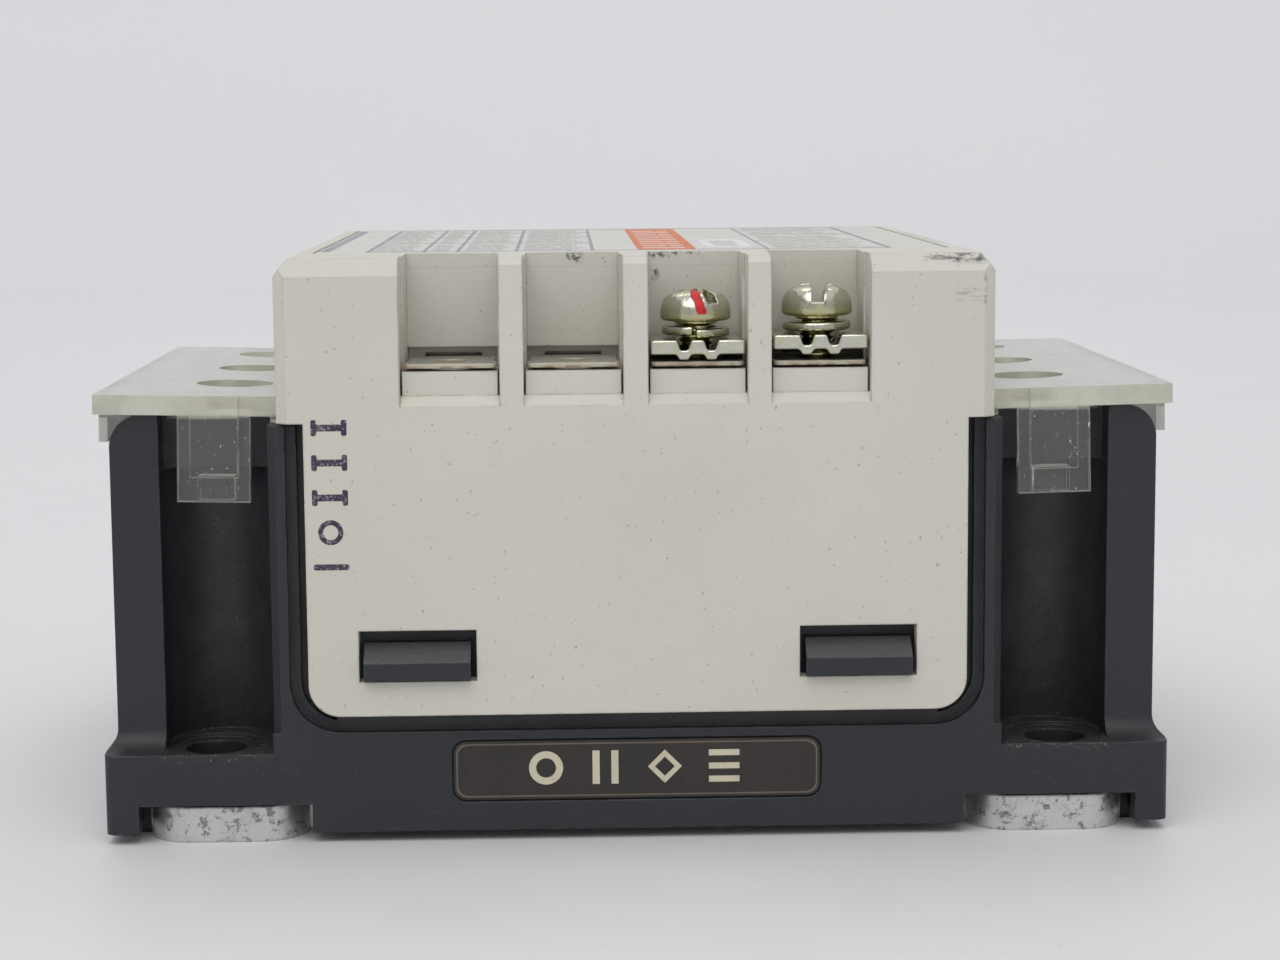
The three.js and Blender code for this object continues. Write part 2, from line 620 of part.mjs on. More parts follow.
// Main terminal: a pad in the bay, a leg down inside the frame and a foot on the ceramic substrate.
function mainTerminal(pole) {
  const y = behind(pole);
  const padTop = PLATFORM_Z + GAP + TERMINAL_THICKNESS;
  const leg = block(LEG_X, around(y, LEG_HALF), [FOOT_Z[0], padTop]);
  const pad = block([LEG_X[0], PAD_OUTER], around(y, PAD_HALF), [PLATFORM_Z + GAP, padTop]);
  const foot = block([FOOT_INNER, LEG_X[1]], around(y, LEG_HALF), FOOT_Z);
  const hole = rod(2.7, [PLATFORM_Z - 1, padTop + 1], MAIN_SCREW_X, y);
  return joined([leg, pad, foot]).subtract(hole);
}

// Pan-head screw seen from its seat upwards, with a slot right across and a shorter cross slot.
function panScrew({ shank, length, head, height, slot, depth, segments }) {
  const profile = [
    [0, -length], [shank * 0.75, -length], [shank, -length + 0.5], [shank, -0.3], [head * 0.88, 0],
    [head, height * 0.13], [head * 0.99, height * 0.38], [head * 0.91, height * 0.67],
    [head * 0.72, height * 0.88], [head * 0.42, height * 0.98], [0, height],
  ];
  return lathe(profile, segments)
    .subtract(block([-slot / 2, slot / 2], [-head - 1, head + 1], [height - depth, height + 1]))
    .subtract(block([-head * 0.5, head * 0.5], [-slot / 2, slot / 2], [height - depth, height + 1]));
}

// Split ring that climbs by its own lead from one side of the split to the other.
function springWasher(inner, outer, thickness, lead) {
  const gapAngle = 0.12;
  const shape = new THREE.Shape();
  shape.absarc(0, 0, outer, gapAngle, Math.PI * 2 - gapAngle);
  shape.absarc(0, 0, inner, Math.PI * 2 - gapAngle, gapAngle, true);
  const geometry = extrude(shape, thickness, 16);
  const points = geometry.attributes.position;
  for (let i = 0; i < points.count; i += 1) {
    const angle = Math.atan2(points.getY(i), points.getX(i));
    const share = (angle < 0 ? angle + Math.PI * 2 : angle) / (Math.PI * 2);
    points.setZ(i, points.getZ(i) + lead * share);
  }
  return solid(geometry);
}

// Square clamping washer: two ribs are pressed down into it, from front to rear.
function ribbedWasher({ half, thickness, rib, bore }) {
  const spots = [-1.38, 1.38];
  const top = [[-half, thickness - 0.3], [-half + 0.35, thickness]];
  const under = [[-half, 0]];
  for (const spot of spots) {
    top.push([spot - 0.62, thickness], [spot - 0.36, thickness - rib], [spot + 0.36, thickness - rib],
      [spot + 0.62, thickness]);
    under.push([spot - 0.75, 0], [spot - 0.45, -rib], [spot + 0.45, -rib], [spot + 0.75, 0]);
  }
  top.push([half - 0.35, thickness], [half, thickness - 0.3]);
  under.push([half, 0]);
  return prismY(polygon([...under, ...top.reverse()]), [-half * 0.92, half * 0.92])
    .subtract(rod(bore, [-rib - 1, thickness + 1]));
}

function squareWasher(half, thickness, bore) {
  const clip = 1.2;
  return prismZ(polygon([
    [-half + clip, -half], [half - clip, -half], [half, -half + clip], [half, half - clip],
    [half - clip, half], [-half + clip, half], [-half, half - clip], [-half, -half + clip],
  ]), [0, thickness]).subtract(rod(bore, [-1, thickness + 1]));
}

const CONTROL_SCREWS = [
  { slot: 2, lift: 0, screwTurn: 0.48, splitTurn: -1.66 },
  { slot: 3, lift: 0.42, screwTurn: -0.06, splitTurn: 1.3 },
];

function placeControlScrews() {
  CONTROL_SCREWS.forEach(({ slot, lift, screwTurn, splitTurn }, i) => {
    const x = SLOT_CENTRES[slot];
    const y = behind(CONTROL_SCREW_SETBACK);
    const seat = TERMINAL_TOP + 0.7 + lift;             // underside of the washer's flat part
    const washer = { half: 4.68, thickness: 1.25, rib: 0.55, bore: 2.1 };
    const screw = { shank: 1.65, length: 7.6, head: 3.5, height: 3.1, slot: 1.2, depth: 1.75, segments: 20 };
    place(`square_washer_${i + 1}`, ribbedWasher(washer), zincSteel, { position: [x, y, seat] });
    place(`spring_washer_${i + 1}`, springWasher(2.0, 3.4, 0.95, 0.3), zincSteel,
      { position: [x, y, seat + 1.45], turn: splitTurn });
    place(`control_screw_${i + 1}`, panScrew(screw), zincSteel,
      { position: [x, y, seat + 3.15], turn: screwTurn });
  });
}

function placeMainTerminals() {
  const screw = { shank: 2.4, length: 12, head: 4.4, height: 3.4, slot: 1.3, depth: 1.9, segments: 14 };
  const washerZ = PLATFORM_Z + TERMINAL_THICKNESS + 2 * GAP;
  const washerThickness = 1.2;
  for (const [side, label, first] of [[-1, 'line', 1], [1, 'load', 4]]) {
    POLE_SETBACKS.forEach((pole, i) => {
      const terminal = side < 0 ? flipped(mainTerminal(pole), [-1, 1]) : mainTerminal(pole);
      const position = [side * MAIN_SCREW_X, behind(pole), washerZ];
      place(`${label}_terminal_${i + 1}`, terminal, brightCopper);
      place(`main_washer_${first + i}`, squareWasher(4.5, washerThickness, 2.75), zincSteel,
        { position });
      place(`main_screw_${first + i}`, panScrew(screw), zincSteel,
        { position: [position[0], position[1], washerZ + washerThickness + GAP], turn: 0.4 + i + first });
    });
  }
}

// ---------------------------------------------------------------- inside the housing
function substrate(y) {
  const bottom = PLATE_THICKNESS + GAP;
  return block([-23.5, 23.5], around(y, 8.5), [bottom, bottom + 1]);
}

function thyristorModule(y) {
  const shape = polygon([[-12.9, 5.25], [12.9, 5.25], [12.3, 8.6], [-12.3, 8.6]]);
  const lead = block([-1, 1], [y - 3, y - 2], [8, 23.9]);
  return prismY(shape, [y - 6.5, y + 6.5]).add(lead);
}

function circuitBoard() {
  const half = 30.1;
  const board = block([-half, half], insetDepth(3.2), [TUB_TOP + GAP, TUB_TOP + 1.9]);
  return board.subtract(joined(boardPosts().map(([x, y]) => rod(1.5, [20, 30], x, y, 10))));
}

function optocoupler() {
  const body = prismY(polygon([[-3.1, 1], [3.1, 1], [3.3, 2.6], [2.9, 4.2], [-2.9, 4.2], [-3.3, 2.6]]),
    [-4.4, 4.4]);
  const legs = [-2.54, 0, 2.54].map((y) => joined([
    block([-4.1, 4.1], [y - 0.6, y + 0.6], [2.3, 2.7]),
    block([-4.1, -3.7], [y - 0.6, y + 0.6], [0, 2.7]),
    block([3.7, 4.1], [y - 0.6, y + 0.6], [0, 2.7]),
  ]));
  return joined([body, ...legs]);
}

function filmCapacitor() {
  return prismZ(roundedRectangle([-9, 9], [-3.2, 3.2], 0.8), [0.4, 13], 2)
    .add(rod(0.4, [0, 1], -7.5, 0, 6)).add(rod(0.4, [0, 1], 7.5, 0, 6));
}

function varistor() {
  const disc = new THREE.CylinderGeometry(7, 7, 4.4, 18);
  disc.translate(0, 0, 9.5);
  const leg = (x) => block([x - 0.35, x + 0.35], [-0.4, 0.4], [0, 5]);
  return solid(disc).add(leg(-3.6)).add(leg(3.6));
}

function placeInside() {
  const deck = TUB_TOP + 2.2;
  place('circuit_board', circuitBoard(), circuitLaminate);
  POLE_SETBACKS.forEach((pole, i) => {
    const y = behind(pole);
    place(`ceramic_substrate_${i + 1}`, substrate(y), alumina);
    place(`thyristor_module_${i + 1}`, thyristorModule(y), mouldedResin);
    place(`optocoupler_${i + 1}`, optocoupler(), mouldedResin, { position: [-3, y + 3, deck] });
    place(`snubber_capacitor_${i + 1}`, filmCapacitor(), filmYellow, { position: [17, y + 4, deck] });
    place(`varistor_${i + 1}`, varistor(), varistorBlue, { position: [-18, y + 4, deck] });
  });
  boardPosts().forEach(([x, y], i) => {
    const screw = { shank: 1.0, length: 7, head: 2.3, height: 1.6, slot: 0.6, depth: 0.8, segments: 8 };
    place(`board_screw_${i + 1}`, panScrew(screw), zincSteel, { position: [x, y, deck] });
  });
}

// ---------------------------------------------------------------- assembly
place('base_plate', basePlate(), aluminium);
place('base_frame', frame(), blackPlastic);
place('top_housing', housing(), whitePlastic);
place('front_label', frontLabel(), labelPlastic);
place('top_nameplate', block([-32.65, 32.65], behindRange([13.85, 79.35]), [58.45, HOUSING_TOP + 0.05]),
  nameplateFilm);
SLOT_CENTRES.forEach((centre, i) => place(`control_terminal_${i + 1}`, controlTerminal(centre), tinPlate));
placeControlScrews();
placeMainTerminals();
placeCovers();
placeInside();
frameScrewSpots().forEach(([x, y], i) => (
  place(`frame_screw_${i + 1}`, frameScrew(), zincSteel, { position: [x, y, 0] })));

export default relay;
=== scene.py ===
"""Looks of the solid state relay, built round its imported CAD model.

Lengths in the modelling code are millimetres; MM turns them into Blender's metres.
"""
import math

import bmesh
import bpy
from mathutils import Matrix, Vector


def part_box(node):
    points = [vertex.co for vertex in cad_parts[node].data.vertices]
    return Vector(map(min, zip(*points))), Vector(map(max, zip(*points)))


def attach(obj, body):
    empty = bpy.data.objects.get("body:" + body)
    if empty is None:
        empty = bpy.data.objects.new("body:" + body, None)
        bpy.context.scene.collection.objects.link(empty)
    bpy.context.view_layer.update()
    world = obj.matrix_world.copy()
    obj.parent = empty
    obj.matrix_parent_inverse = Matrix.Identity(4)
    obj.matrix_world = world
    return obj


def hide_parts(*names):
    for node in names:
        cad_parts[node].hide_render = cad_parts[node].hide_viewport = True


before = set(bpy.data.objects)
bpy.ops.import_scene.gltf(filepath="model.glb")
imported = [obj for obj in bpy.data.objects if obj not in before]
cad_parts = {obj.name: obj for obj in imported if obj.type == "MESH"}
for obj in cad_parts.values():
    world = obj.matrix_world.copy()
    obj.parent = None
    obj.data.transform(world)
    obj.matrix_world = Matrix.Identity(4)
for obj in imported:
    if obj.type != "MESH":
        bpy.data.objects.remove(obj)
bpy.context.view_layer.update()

MM = 0.001
BODY = "relay_body"
KEY, FILL, BACKDROP = 3.6, 0.2, 2.7          # watts of the three lights
AMBIENT = 0.67                               # strength of the surroundings
HEAD_RADIUS, HEAD_HEIGHT = 3.55, 3.1         # pan head of a control screw
HEAD_CURVE = 2.8                             # power of the head's outline; 2 would be an ellipse
TURN_OF_FIRST = 0.5                          # radians the first control screw is turned from straight ahead
NOTCH_DEPTH = 10.8                           # from the white front to the rear wall of a terminal recess
CHANNEL_X = (36.9, 48.0)                     # a mounting channel's sides, measured from the middle


# ---------------------------------------------------------------- places taken from the frame
def box_mm(node):
    """Lowest and highest corner of a CAD node, in millimetres."""
    low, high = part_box(node)
    return low / MM, high / MM


HOUSING_LOW, HOUSING_HIGH = box_mm("top_housing")
FRONT = HOUSING_LOW.y
LABEL_LOW, LABEL_HIGH = box_mm("front_label")
PLATE_LOW, PLATE_HIGH = box_mm("top_nameplate")
FILM_TOP = PLATE_HIGH.z - 0.06               # the nameplate's own face, under its print


# ---------------------------------------------------------------- node graphs
class Graph:
    """One procedural material. Each method adds nodes and returns an output socket."""

    def __init__(self, name):
        self.material = bpy.data.materials.new(name)
        self.material.use_nodes = True
        self.tree = self.material.node_tree
        self.tree.nodes.clear()
        output = self.tree.nodes.new("ShaderNodeOutputMaterial")
        self.shader = self.tree.nodes.new("ShaderNodeBsdfPrincipled")
        self.tree.links.new(self.shader.outputs["BSDF"], output.inputs["Surface"])
        coordinates = self.tree.nodes.new("ShaderNodeTexCoord").outputs["Object"]
        self.point = self.vector("MULTIPLY", coordinates, (1 / MM,) * 3)
        self.x, self.y, self.z = self.split(self.point)
        self.flat = self.vector("MULTIPLY", self.point, (1, 1, 0))
        self.aside = self.calc("ABSOLUTE", self.x)
        self.normal = self.tree.nodes.new("ShaderNodeNewGeometry").outputs["Normal"]

    def feed(self, socket, value):
        if isinstance(value, bpy.types.NodeSocket):
            self.tree.links.new(value, socket)
        elif socket.type == "RGBA" and len(value) == 3:
            socket.default_value = (*value, 1)
        else:
            socket.default_value = value

    def set(self, **inputs):
        """Feeds the shader's own sockets; a plain number or colour is set on the socket itself."""
        for name, value in inputs.items():
            self.feed(self.shader.inputs[name.replace("_", " ")], value)
        return self.material

    def vector(self, operation, a, b):
        node = self.tree.nodes.new("ShaderNodeVectorMath")
        node.operation = operation
        self.feed(node.inputs[0], a)
        self.feed(node.inputs[1], b)
        return node.outputs["Value" if operation in ("DOT_PRODUCT", "LENGTH") else "Vector"]

    def split(self, vector):
        node = self.tree.nodes.new("ShaderNodeSeparateXYZ")
        self.feed(node.inputs[0], vector)
        return tuple(node.outputs)

    def calc(self, operation, a, b=0.0):
        node = self.tree.nodes.new("ShaderNodeMath")
        node.operation = operation
        self.feed(node.inputs[0], a)
        self.feed(node.inputs[1], b)
        return node.outputs[0]

    def times(self, first, *rest):
        for other in rest:
            first = self.calc("MULTIPLY", first, other)
        return first

    def most(self, first, *rest):
        for other in rest:
            first = self.calc("MAXIMUM", first, other)
        return first

    def span(self, value, low, high, to_low=0.0, to_high=1.0):
        """Smoothly maps low..high to to_low..to_high, and holds the ends."""
        node = self.tree.nodes.new("ShaderNodeMapRange")
        node.interpolation_type = "SMOOTHSTEP"
        for name, number in (("Value", value), ("From Min", low), ("From Max", high),
                             ("To Min", to_low), ("To Max", to_high)):
            self.feed(node.inputs[name], number)
        return node.outputs["Result"]

    def within(self, value, low, high, soft=0.1):
        rise = self.span(value, low - soft, low + soft)
        fall = self.span(value, high - soft, high + soft, 1.0, 0.0)
        return self.times(rise, fall)

    def patch(self, x=None, y=None, z=None, soft=0.4):
        """A soft box in the object's own coordinates."""
        sides = [self.within(axis, *limits, soft)
                 for axis, limits in ((self.x, x), (self.y, y), (self.z, z)) if limits]
        return self.times(*sides)

    def noise(self, size, detail=3.0, roughness=0.5, stretch=(1, 1, 1)):
        """Noise with features of about size millimetres, longer along an axis by its stretch."""
        node = self.tree.nodes.new("ShaderNodeTexNoise")
        scaled = self.vector("MULTIPLY", self.point, [1 / (size * s) for s in stretch])
        self.feed(node.inputs["Vector"], scaled)
        self.feed(node.inputs["Scale"], 1.0)
        self.feed(node.inputs["Detail"], detail)
        self.feed(node.inputs["Roughness"], roughness)
        return node.outputs["Fac"]

    def specks(self, size, rarity):
        """Irregular specks of about size millimetres; rarity from 0.6 (many) to 0.75 (few)."""
        return self.span(self.noise(size, 1), rarity, rarity + 0.03)

    def facing(self, axis):
        """How far the surface faces along +axis, from 0 to 1."""
        return self.span(self.split(self.normal)["XYZ".index(axis)], 0.55, 0.95)

    def side_on(self):
        """One on upright faces, zero on level ones."""
        return self.span(self.calc("ABSOLUTE", self.split(self.normal)[2]), 0.35, 0.6, 1.0, 0.0)

    def edges(self, radius):
        """One along outward and inward edges, zero on the flats."""
        node = self.tree.nodes.new("ShaderNodeBevel")
        node.samples = 4
        self.feed(node.inputs["Radius"], radius * MM)
        same = self.vector("DOT_PRODUCT", node.outputs["Normal"], self.normal)
        return self.span(same, 0.80, 0.985, 1.0, 0.0)

    def rounded(self, radius):
        """The normal with edges rounded to that radius in millimetres."""
        node = self.tree.nodes.new("ShaderNodeBevel")
        node.samples = 6
        self.feed(node.inputs["Radius"], radius * MM)
        return node.outputs["Normal"]

    def mix(self, share, a, b):
        node = self.tree.nodes.new("ShaderNodeMix")
        node.data_type = "RGBA"
        self.feed(node.inputs[0], share)
        self.feed(node.inputs[6], a)
        self.feed(node.inputs[7], b)
        return node.outputs[2]

    def layers(self, colour, *masks_and_colours):
        """Lays colours over each other, each as strong as its mask."""
        for mask, over in masks_and_colours:
            colour = self.mix(mask, colour, over)
        return colour

    def bump(self, height, depth, below=None):
        """A bump of that depth in millimetres."""
        node = self.tree.nodes.new("ShaderNodeBump")
        self.feed(node.inputs["Height"], height)
        self.feed(node.inputs["Distance"], depth * MM)
        if below is not None:
            self.feed(node.inputs["Normal"], below)
        return node.outputs["Normal"]


def shaded(colour, factor):
    return tuple(min(1.0, channel * factor) for channel in colour)


# ---------------------------------------------------------------- materials
def white_plastic():
    g = Graph("white_plastic")
    base = (0.66, 0.64, 0.575)
    warm = g.span(g.noise(22, 2), 0.35, 0.7, 0.0, 0.55)
    mottled = g.span(g.noise(1.6, 4, 0.6), 0.3, 0.75, 0.0, 0.35)
    worn = g.times(g.edges(0.35), g.span(g.noise(2.5, 4, 0.7), 0.36, 0.62))
    slot_rear = FRONT + NOTCH_DEPTH
    top = HOUSING_HIGH.z
    blotchy = g.span(g.noise(0.7, 5, 0.7), 0.46, 0.6)
    smudges = g.times(blotchy, g.most(
        g.patch((-6.9, -4.9), (slot_rear - 0.6, slot_rear + 0.6), (top - 1.0, top), 0.3),
        g.patch((1.4, 7.4), (slot_rear - 0.5, slot_rear + 0.5), (top - 0.6, top), 0.25),
        g.patch((1.7, 2.6), (slot_rear - 0.6, slot_rear + 0.6), (top - 2.9, top - 1.7), 0.3),
        g.patch((31.0, 34.6), (FRONT + 0.6, FRONT + 1.6), (top - 1.0, top), 0.35),
    ))
    brushed = g.span(g.noise(0.35, 5, 0.7, (7, 1, 1)), 0.48, 0.62)
    grubby = g.times(brushed, g.most(
        g.patch((28.5, 34.8), (FRONT + 0.7, FRONT + 1.8), (top - 0.9, top), 0.4),
        g.patch((34.3, 35.9), (FRONT + 1.0, FRONT + 9), (top - 1.9, top), 0.4),
        g.patch((32.7, 36.0), (FRONT + 24, FRONT + 62), (top - 1.0, top), 1.2),
        g.times(g.patch((34.35, 34.75), (FRONT - 1, FRONT + 0.4), (top - 5.2, top - 1.5), 0.12), 0.6),
        g.times(g.patch((31.5, 34.3), (FRONT - 1, FRONT + 0.4), (top - 4.6, top - 3.2), 0.5), 0.5)))
    scuffs = g.times(
        g.patch((25.5, 34.5), (FRONT - 1, FRONT + 0.6), (52.2, 56.6), 1.2),
        g.span(g.noise(0.5, 5, 0.7, (5, 1, 1)), 0.57, 0.7, 0.0, 0.35))
    seam_line = g.within(g.z, top - 1.48, top - 1.36, 0.05)
    seam = g.times(seam_line, g.facing("Y"), 0.3)
    back_seam = g.times(seam_line, g.span(g.y, slot_rear - 0.4, slot_rear - 0.2), 0.25)
    dirt = g.specks(0.45, 0.745)
    colour = g.layers(
        base,
        (warm, (0.62, 0.59, 0.50)),
        (mottled, (0.63, 0.615, 0.56)),
        (g.times(worn, 0.75), (0.38, 0.32, 0.20)),
        (g.most(seam, back_seam), (0.42, 0.39, 0.32)),
        (g.times(dirt, 0.5), (0.20, 0.17, 0.13)),
        (scuffs, (0.30, 0.29, 0.30)),
        (g.times(grubby, 0.8), (0.10, 0.09, 0.10)),
        (g.times(smudges, 0.85), (0.05, 0.045, 0.05)),
    )
    grain = g.noise(0.16, 2)
    ripple = g.noise(5, 2)
    surface = g.bump(ripple, 0.03, g.bump(grain, 0.012, g.rounded(0.2)))
    return g.set(Base_Color=colour, Roughness=g.span(g.noise(3, 3), 0.3, 0.7, 0.42, 0.56),
                 Normal=surface, IOR=1.5)


def black_plastic():
    g = Graph("black_plastic")
    base = (0.0185, 0.0205, 0.0245)
    cloudy = g.span(g.noise(9, 4, 0.6), 0.35, 0.7)
    upward = g.facing("Z")
    worn = g.times(g.edges(0.3), g.span(g.noise(1.2, 4, 0.65), 0.38, 0.6))
    specks = g.times(g.specks(0.2, 0.735), g.span(g.noise(9, 3), 0.35, 0.6, 0.2, 1.0))
    scratches = g.times(g.span(g.noise(0.5, 4, 0.7, (9, 1, 1)), 0.63, 0.72),
                        g.span(g.noise(7, 2), 0.5, 0.6))
    in_channel = g.times(g.within(g.aside, *CHANNEL_X, 0.2), g.within(g.z, 8.6, 9.6, 0.5))
    in_recess = g.times(g.within(g.aside, 37.0, 47.8, 0.2), g.within(g.z, 9.5, 36.0, 2.0))
    grit = g.times(in_channel, g.most(g.specks(0.36, 0.69), g.specks(0.2, 0.68)))
    # painted light, named film: the recess is lightened all over, unevenly, against the shade it lies in
    film = g.times(in_recess, g.span(g.noise(3.0, 5, 0.7), 0.35, 0.7, 0.15, 0.75))
    streaks = g.times(g.within(g.aside, 36.4, 38.6, 0.3), g.within(g.z, 12, 31, 3),
                      g.span(g.noise(1.2, 4, 0.6, (1, 1, 6)), 0.5, 0.66, 0.0, 0.6))
    dust = g.times(upward, g.span(g.noise(0.8, 5, 0.7), 0.35, 0.7, 0.15, 0.7))
    tilt = g.split(g.normal)[2]
    # painted highlight: the hooks' sloping faces that look up are painted lighter, as if lit from above
    hook_slope_highlight = g.times(g.patch(None, None, (HOUSING_LOW.z + 3.4, HOUSING_LOW.z + 9), 0.1),
                          g.span(g.aside, 28.3, 28.5, 1.0, 0.0), g.within(tilt, 0.3, 0.9, 0.1))
    dirt = g.times(in_recess, g.specks(0.22, 0.7))
    colour = g.layers(
        base,
        (g.times(cloudy, 0.6), (0.026, 0.0285, 0.033)),
        (g.times(hook_slope_highlight, g.span(g.noise(0.3, 4, 0.7), 0.3, 0.7, 0.6, 1.0)), (0.085, 0.087, 0.09)),
        (g.times(dust, 0.55), (0.060, 0.060, 0.060)),
        (g.times(worn, 0.6), (0.11, 0.12, 0.13)),
        (streaks, (0.050, 0.022, 0.016)),
        (g.times(scratches, 0.35), (0.10, 0.105, 0.11)),
        (g.times(film, 0.6), (0.052, 0.052, 0.052)),
        (g.times(specks, 0.6), (0.12, 0.118, 0.11)),
        (g.times(dirt, 0.7), (0.12, 0.11, 0.095)),
        (g.times(grit, 0.85), (0.30, 0.22, 0.13)),
    )
    grain = g.noise(0.14, 3, 0.6)
    surface = g.bump(g.noise(4, 2), 0.03, g.bump(grain, 0.02, g.rounded(0.25)))
    return g.set(Base_Color=colour, Roughness=g.span(cloudy, 0.0, 1.0, 0.44, 0.6), Normal=surface, IOR=1.48)


def aluminium_plate():
    g = Graph("aluminium_plate")
    blotches = g.span(g.noise(2.2, 5, 0.65), 0.5, 0.68)
    nicks = g.span(g.noise(0.35, 4, 0.7, (4, 1, 1)), 0.62, 0.7)
    colour = g.layers(
        (0.68, 0.68, 0.68),
        (g.span(g.noise(5, 3), 0.4, 0.7, 0.0, 0.5), (0.62, 0.62, 0.63)),
        (g.times(blotches, 0.7), (0.36, 0.355, 0.36)),
        (g.times(g.span(g.noise(1.3, 5, 0.75), 0.54, 0.62), 0.8), (0.17, 0.165, 0.17)),
        (g.times(nicks, 0.8), (0.10, 0.09, 0.09)),
        # painted shade: the plate beyond 50 mm from the middle, seen beside the frame's feet, is painted
        # near black as the shade there
        (g.span(g.aside, 49.9, 50.1), (0.05, 0.05, 0.05)),
    )
    surface = g.bump(g.noise(0.3, 4, 0.6), 0.035, g.bump(g.noise(2, 3), 0.05, g.rounded(0.5)))
    return g.set(Base_Color=colour, Metallic=0.85, Roughness=g.span(blotches, 0.0, 1.0, 0.4, 0.62),
                 Normal=surface)


def clear_plastic():
    g = Graph("clear_plastic")
    # painted highlight: a bright, yellowish line round the side faces near the cover's top, in colour and in
    # less transmission
    rim = g.times(g.side_on(), g.span(g.z, 42.7, 43.3))
    upward = g.facing("Z")
    mottled = g.span(g.noise(3.5, 4, 0.6), 0.35, 0.7)
    scratched = g.span(g.noise(0.5, 5, 0.75, (1, 1, 2.5)), 0.62, 0.7)
    scuffed_leg = g.times(scratched, g.patch((39.5, 46.5), None, (34, 42.4), 0.6), 0.4)
    smeared = g.times(upward, g.span(g.noise(1.3, 5, 0.7, (4, 1, 1)), 0.56, 0.7),
                      g.span(g.noise(9, 2), 0.45, 0.6))
    flecks = g.specks(0.3, 0.74)
    # painted highlight: bright, yellowish lines along the edges, in colour and in less transmission
    lines = g.times(g.edges(0.22), g.span(g.noise(1.5, 3), 0.2, 0.6, 0.35, 0.8))
    dusty = g.times(upward, g.span(mottled, 0.0, 1.0, 0.3, 0.42))
    skirt = g.times(g.span(g.aside, 50.6, 50.9, 0.0, 0.45), g.span(g.z, 42.7, 42.9, 1.0, 0.0))
    hazy_rim_highlight = g.times(rim, g.span(g.noise(5, 3), 0.3, 0.7, 0.36, 0.5))
    # the cloud takes transmission away for dust, flecks, scuffs and the skirt, and for the painted
    # highlights of the rim and the edges
    cloud = g.most(hazy_rim_highlight, dusty, g.times(flecks, 0.5), skirt, g.times(lines, 0.5), scuffed_leg, 0.02)
    colour = g.layers(
        (0.95, 0.95, 0.91),
        (rim, (0.84, 0.835, 0.70)),
        (dusty, (0.90, 0.90, 0.89)),
        (g.times(lines, 0.8), (0.84, 0.83, 0.68)),
        (g.times(smeared, 0.8), (0.26, 0.25, 0.24)),
    )
    rough = g.most(g.times(upward, 0.3), g.times(rim, 0.22), g.times(scratched, 0.3), 0.06)
    surface = g.bump(g.noise(3, 2), 0.02, g.bump(scratched, -0.01))
    return g.set(Base_Color=colour, Transmission_Weight=g.calc("SUBTRACT", 1.0, g.most(cloud, smeared)),
                 Roughness=rough, Normal=surface, IOR=1.49)


def zinc_steel(name="zinc_steel", low=0.0, high=3.0, flank_shade_strength=0.62, paint=None):
    """Zinc plate, yellower towards low; painted shade darkens its sides, as strongly as the flank argument
    asks, and its downward faces; paint masks a red stroke.
    """
    g = Graph(name)
    yellow = g.most(g.span(g.z, low, low + 0.45 * (high - low), 1.0, 0.25),
                    g.span(g.noise(1.1, 4, 0.6), 0.48, 0.64, 0.0, 0.7))
    violet = g.span(g.noise(1.7, 3, 0.5), 0.5, 0.72, 0.0, 0.6)
    # painted shade: faces that look down, and the sides, are painted darker
    downward_shade = g.span(g.split(g.normal)[2], -0.6, 0.25, 1.0, 0.0)
    flank_shade = g.span(g.split(g.normal)[2], 0.05, 0.7, flank_shade_strength, 0.0)
    # grime along the edges, mixed with painted shade on the faces that look down
    grime = g.most(g.times(g.edges(0.25), g.span(g.noise(0.8, 4), 0.45, 0.65), 0.4), g.times(downward_shade, 0.5))
    colour = g.layers(
        (0.70, 0.71, 0.66),
        (flank_shade, (0.33, 0.335, 0.27)),
        (violet, (0.56, 0.53, 0.62)),
        (g.times(yellow, 0.9), (0.60, 0.58, 0.27)),
        (grime, (0.13, 0.11, 0.06)),
    )
    scratches = g.noise(0.25, 3, 0.6, (5, 1, 1))
    rough = g.span(g.noise(0.9, 3), 0.3, 0.7, 0.1, 0.22)
    metal = 1.0
    surface = g.bump(g.noise(0.9, 3), 0.12, g.bump(scratches, 0.008))
    if paint:
        stroke = paint(g)
        colour = g.mix(stroke, colour, g.layers((0.62, 0.002, 0.005), (
            g.span(g.noise(0.5, 3), 0.45, 0.65, 0.0, 0.6), (0.30, 0.002, 0.005))))
        metal = g.calc("SUBTRACT", 1.0, stroke)
        surface = g.bump(stroke, 0.05, surface)
        rough = g.most(rough, g.times(stroke, 0.4))
    return g.set(Base_Color=colour, Metallic=metal, Roughness=rough, Normal=surface)


def paint_stroke(g):
    """A stroke down the front of a screw's head; g.x and g.y lie along the relay's own axes."""
    middle = g.span(g.z, 0.6, 3.1, 0.5, -0.15)
    width = g.calc("ABSOLUTE", g.calc("SUBTRACT", g.x, middle))
    ragged = g.calc("ADD", width, g.span(g.noise(0.4, 3), 0.0, 1.0, -0.12, 0.12))
    outward = g.times(g.vector("LENGTH", g.flat, (0, 0, 0)), 1 / HEAD_RADIUS)
    rim = 0.4
    upward = g.most(g.times(g.calc("SUBTRACT", g.z, rim), 1 / (HEAD_HEIGHT - rim)), 0.0)
    skin = g.span(g.calc("ADD", g.calc("POWER", outward, HEAD_CURVE), g.calc("POWER", upward, HEAD_CURVE)),
                  0.86, 0.93)
    return g.times(g.span(ragged, 0.42, 0.5, 1.0, 0.0), g.span(g.y, -0.6, -0.3, 1.0, 0.0),
                   g.within(g.z, 0.75, 3.3, 0.05), skin)


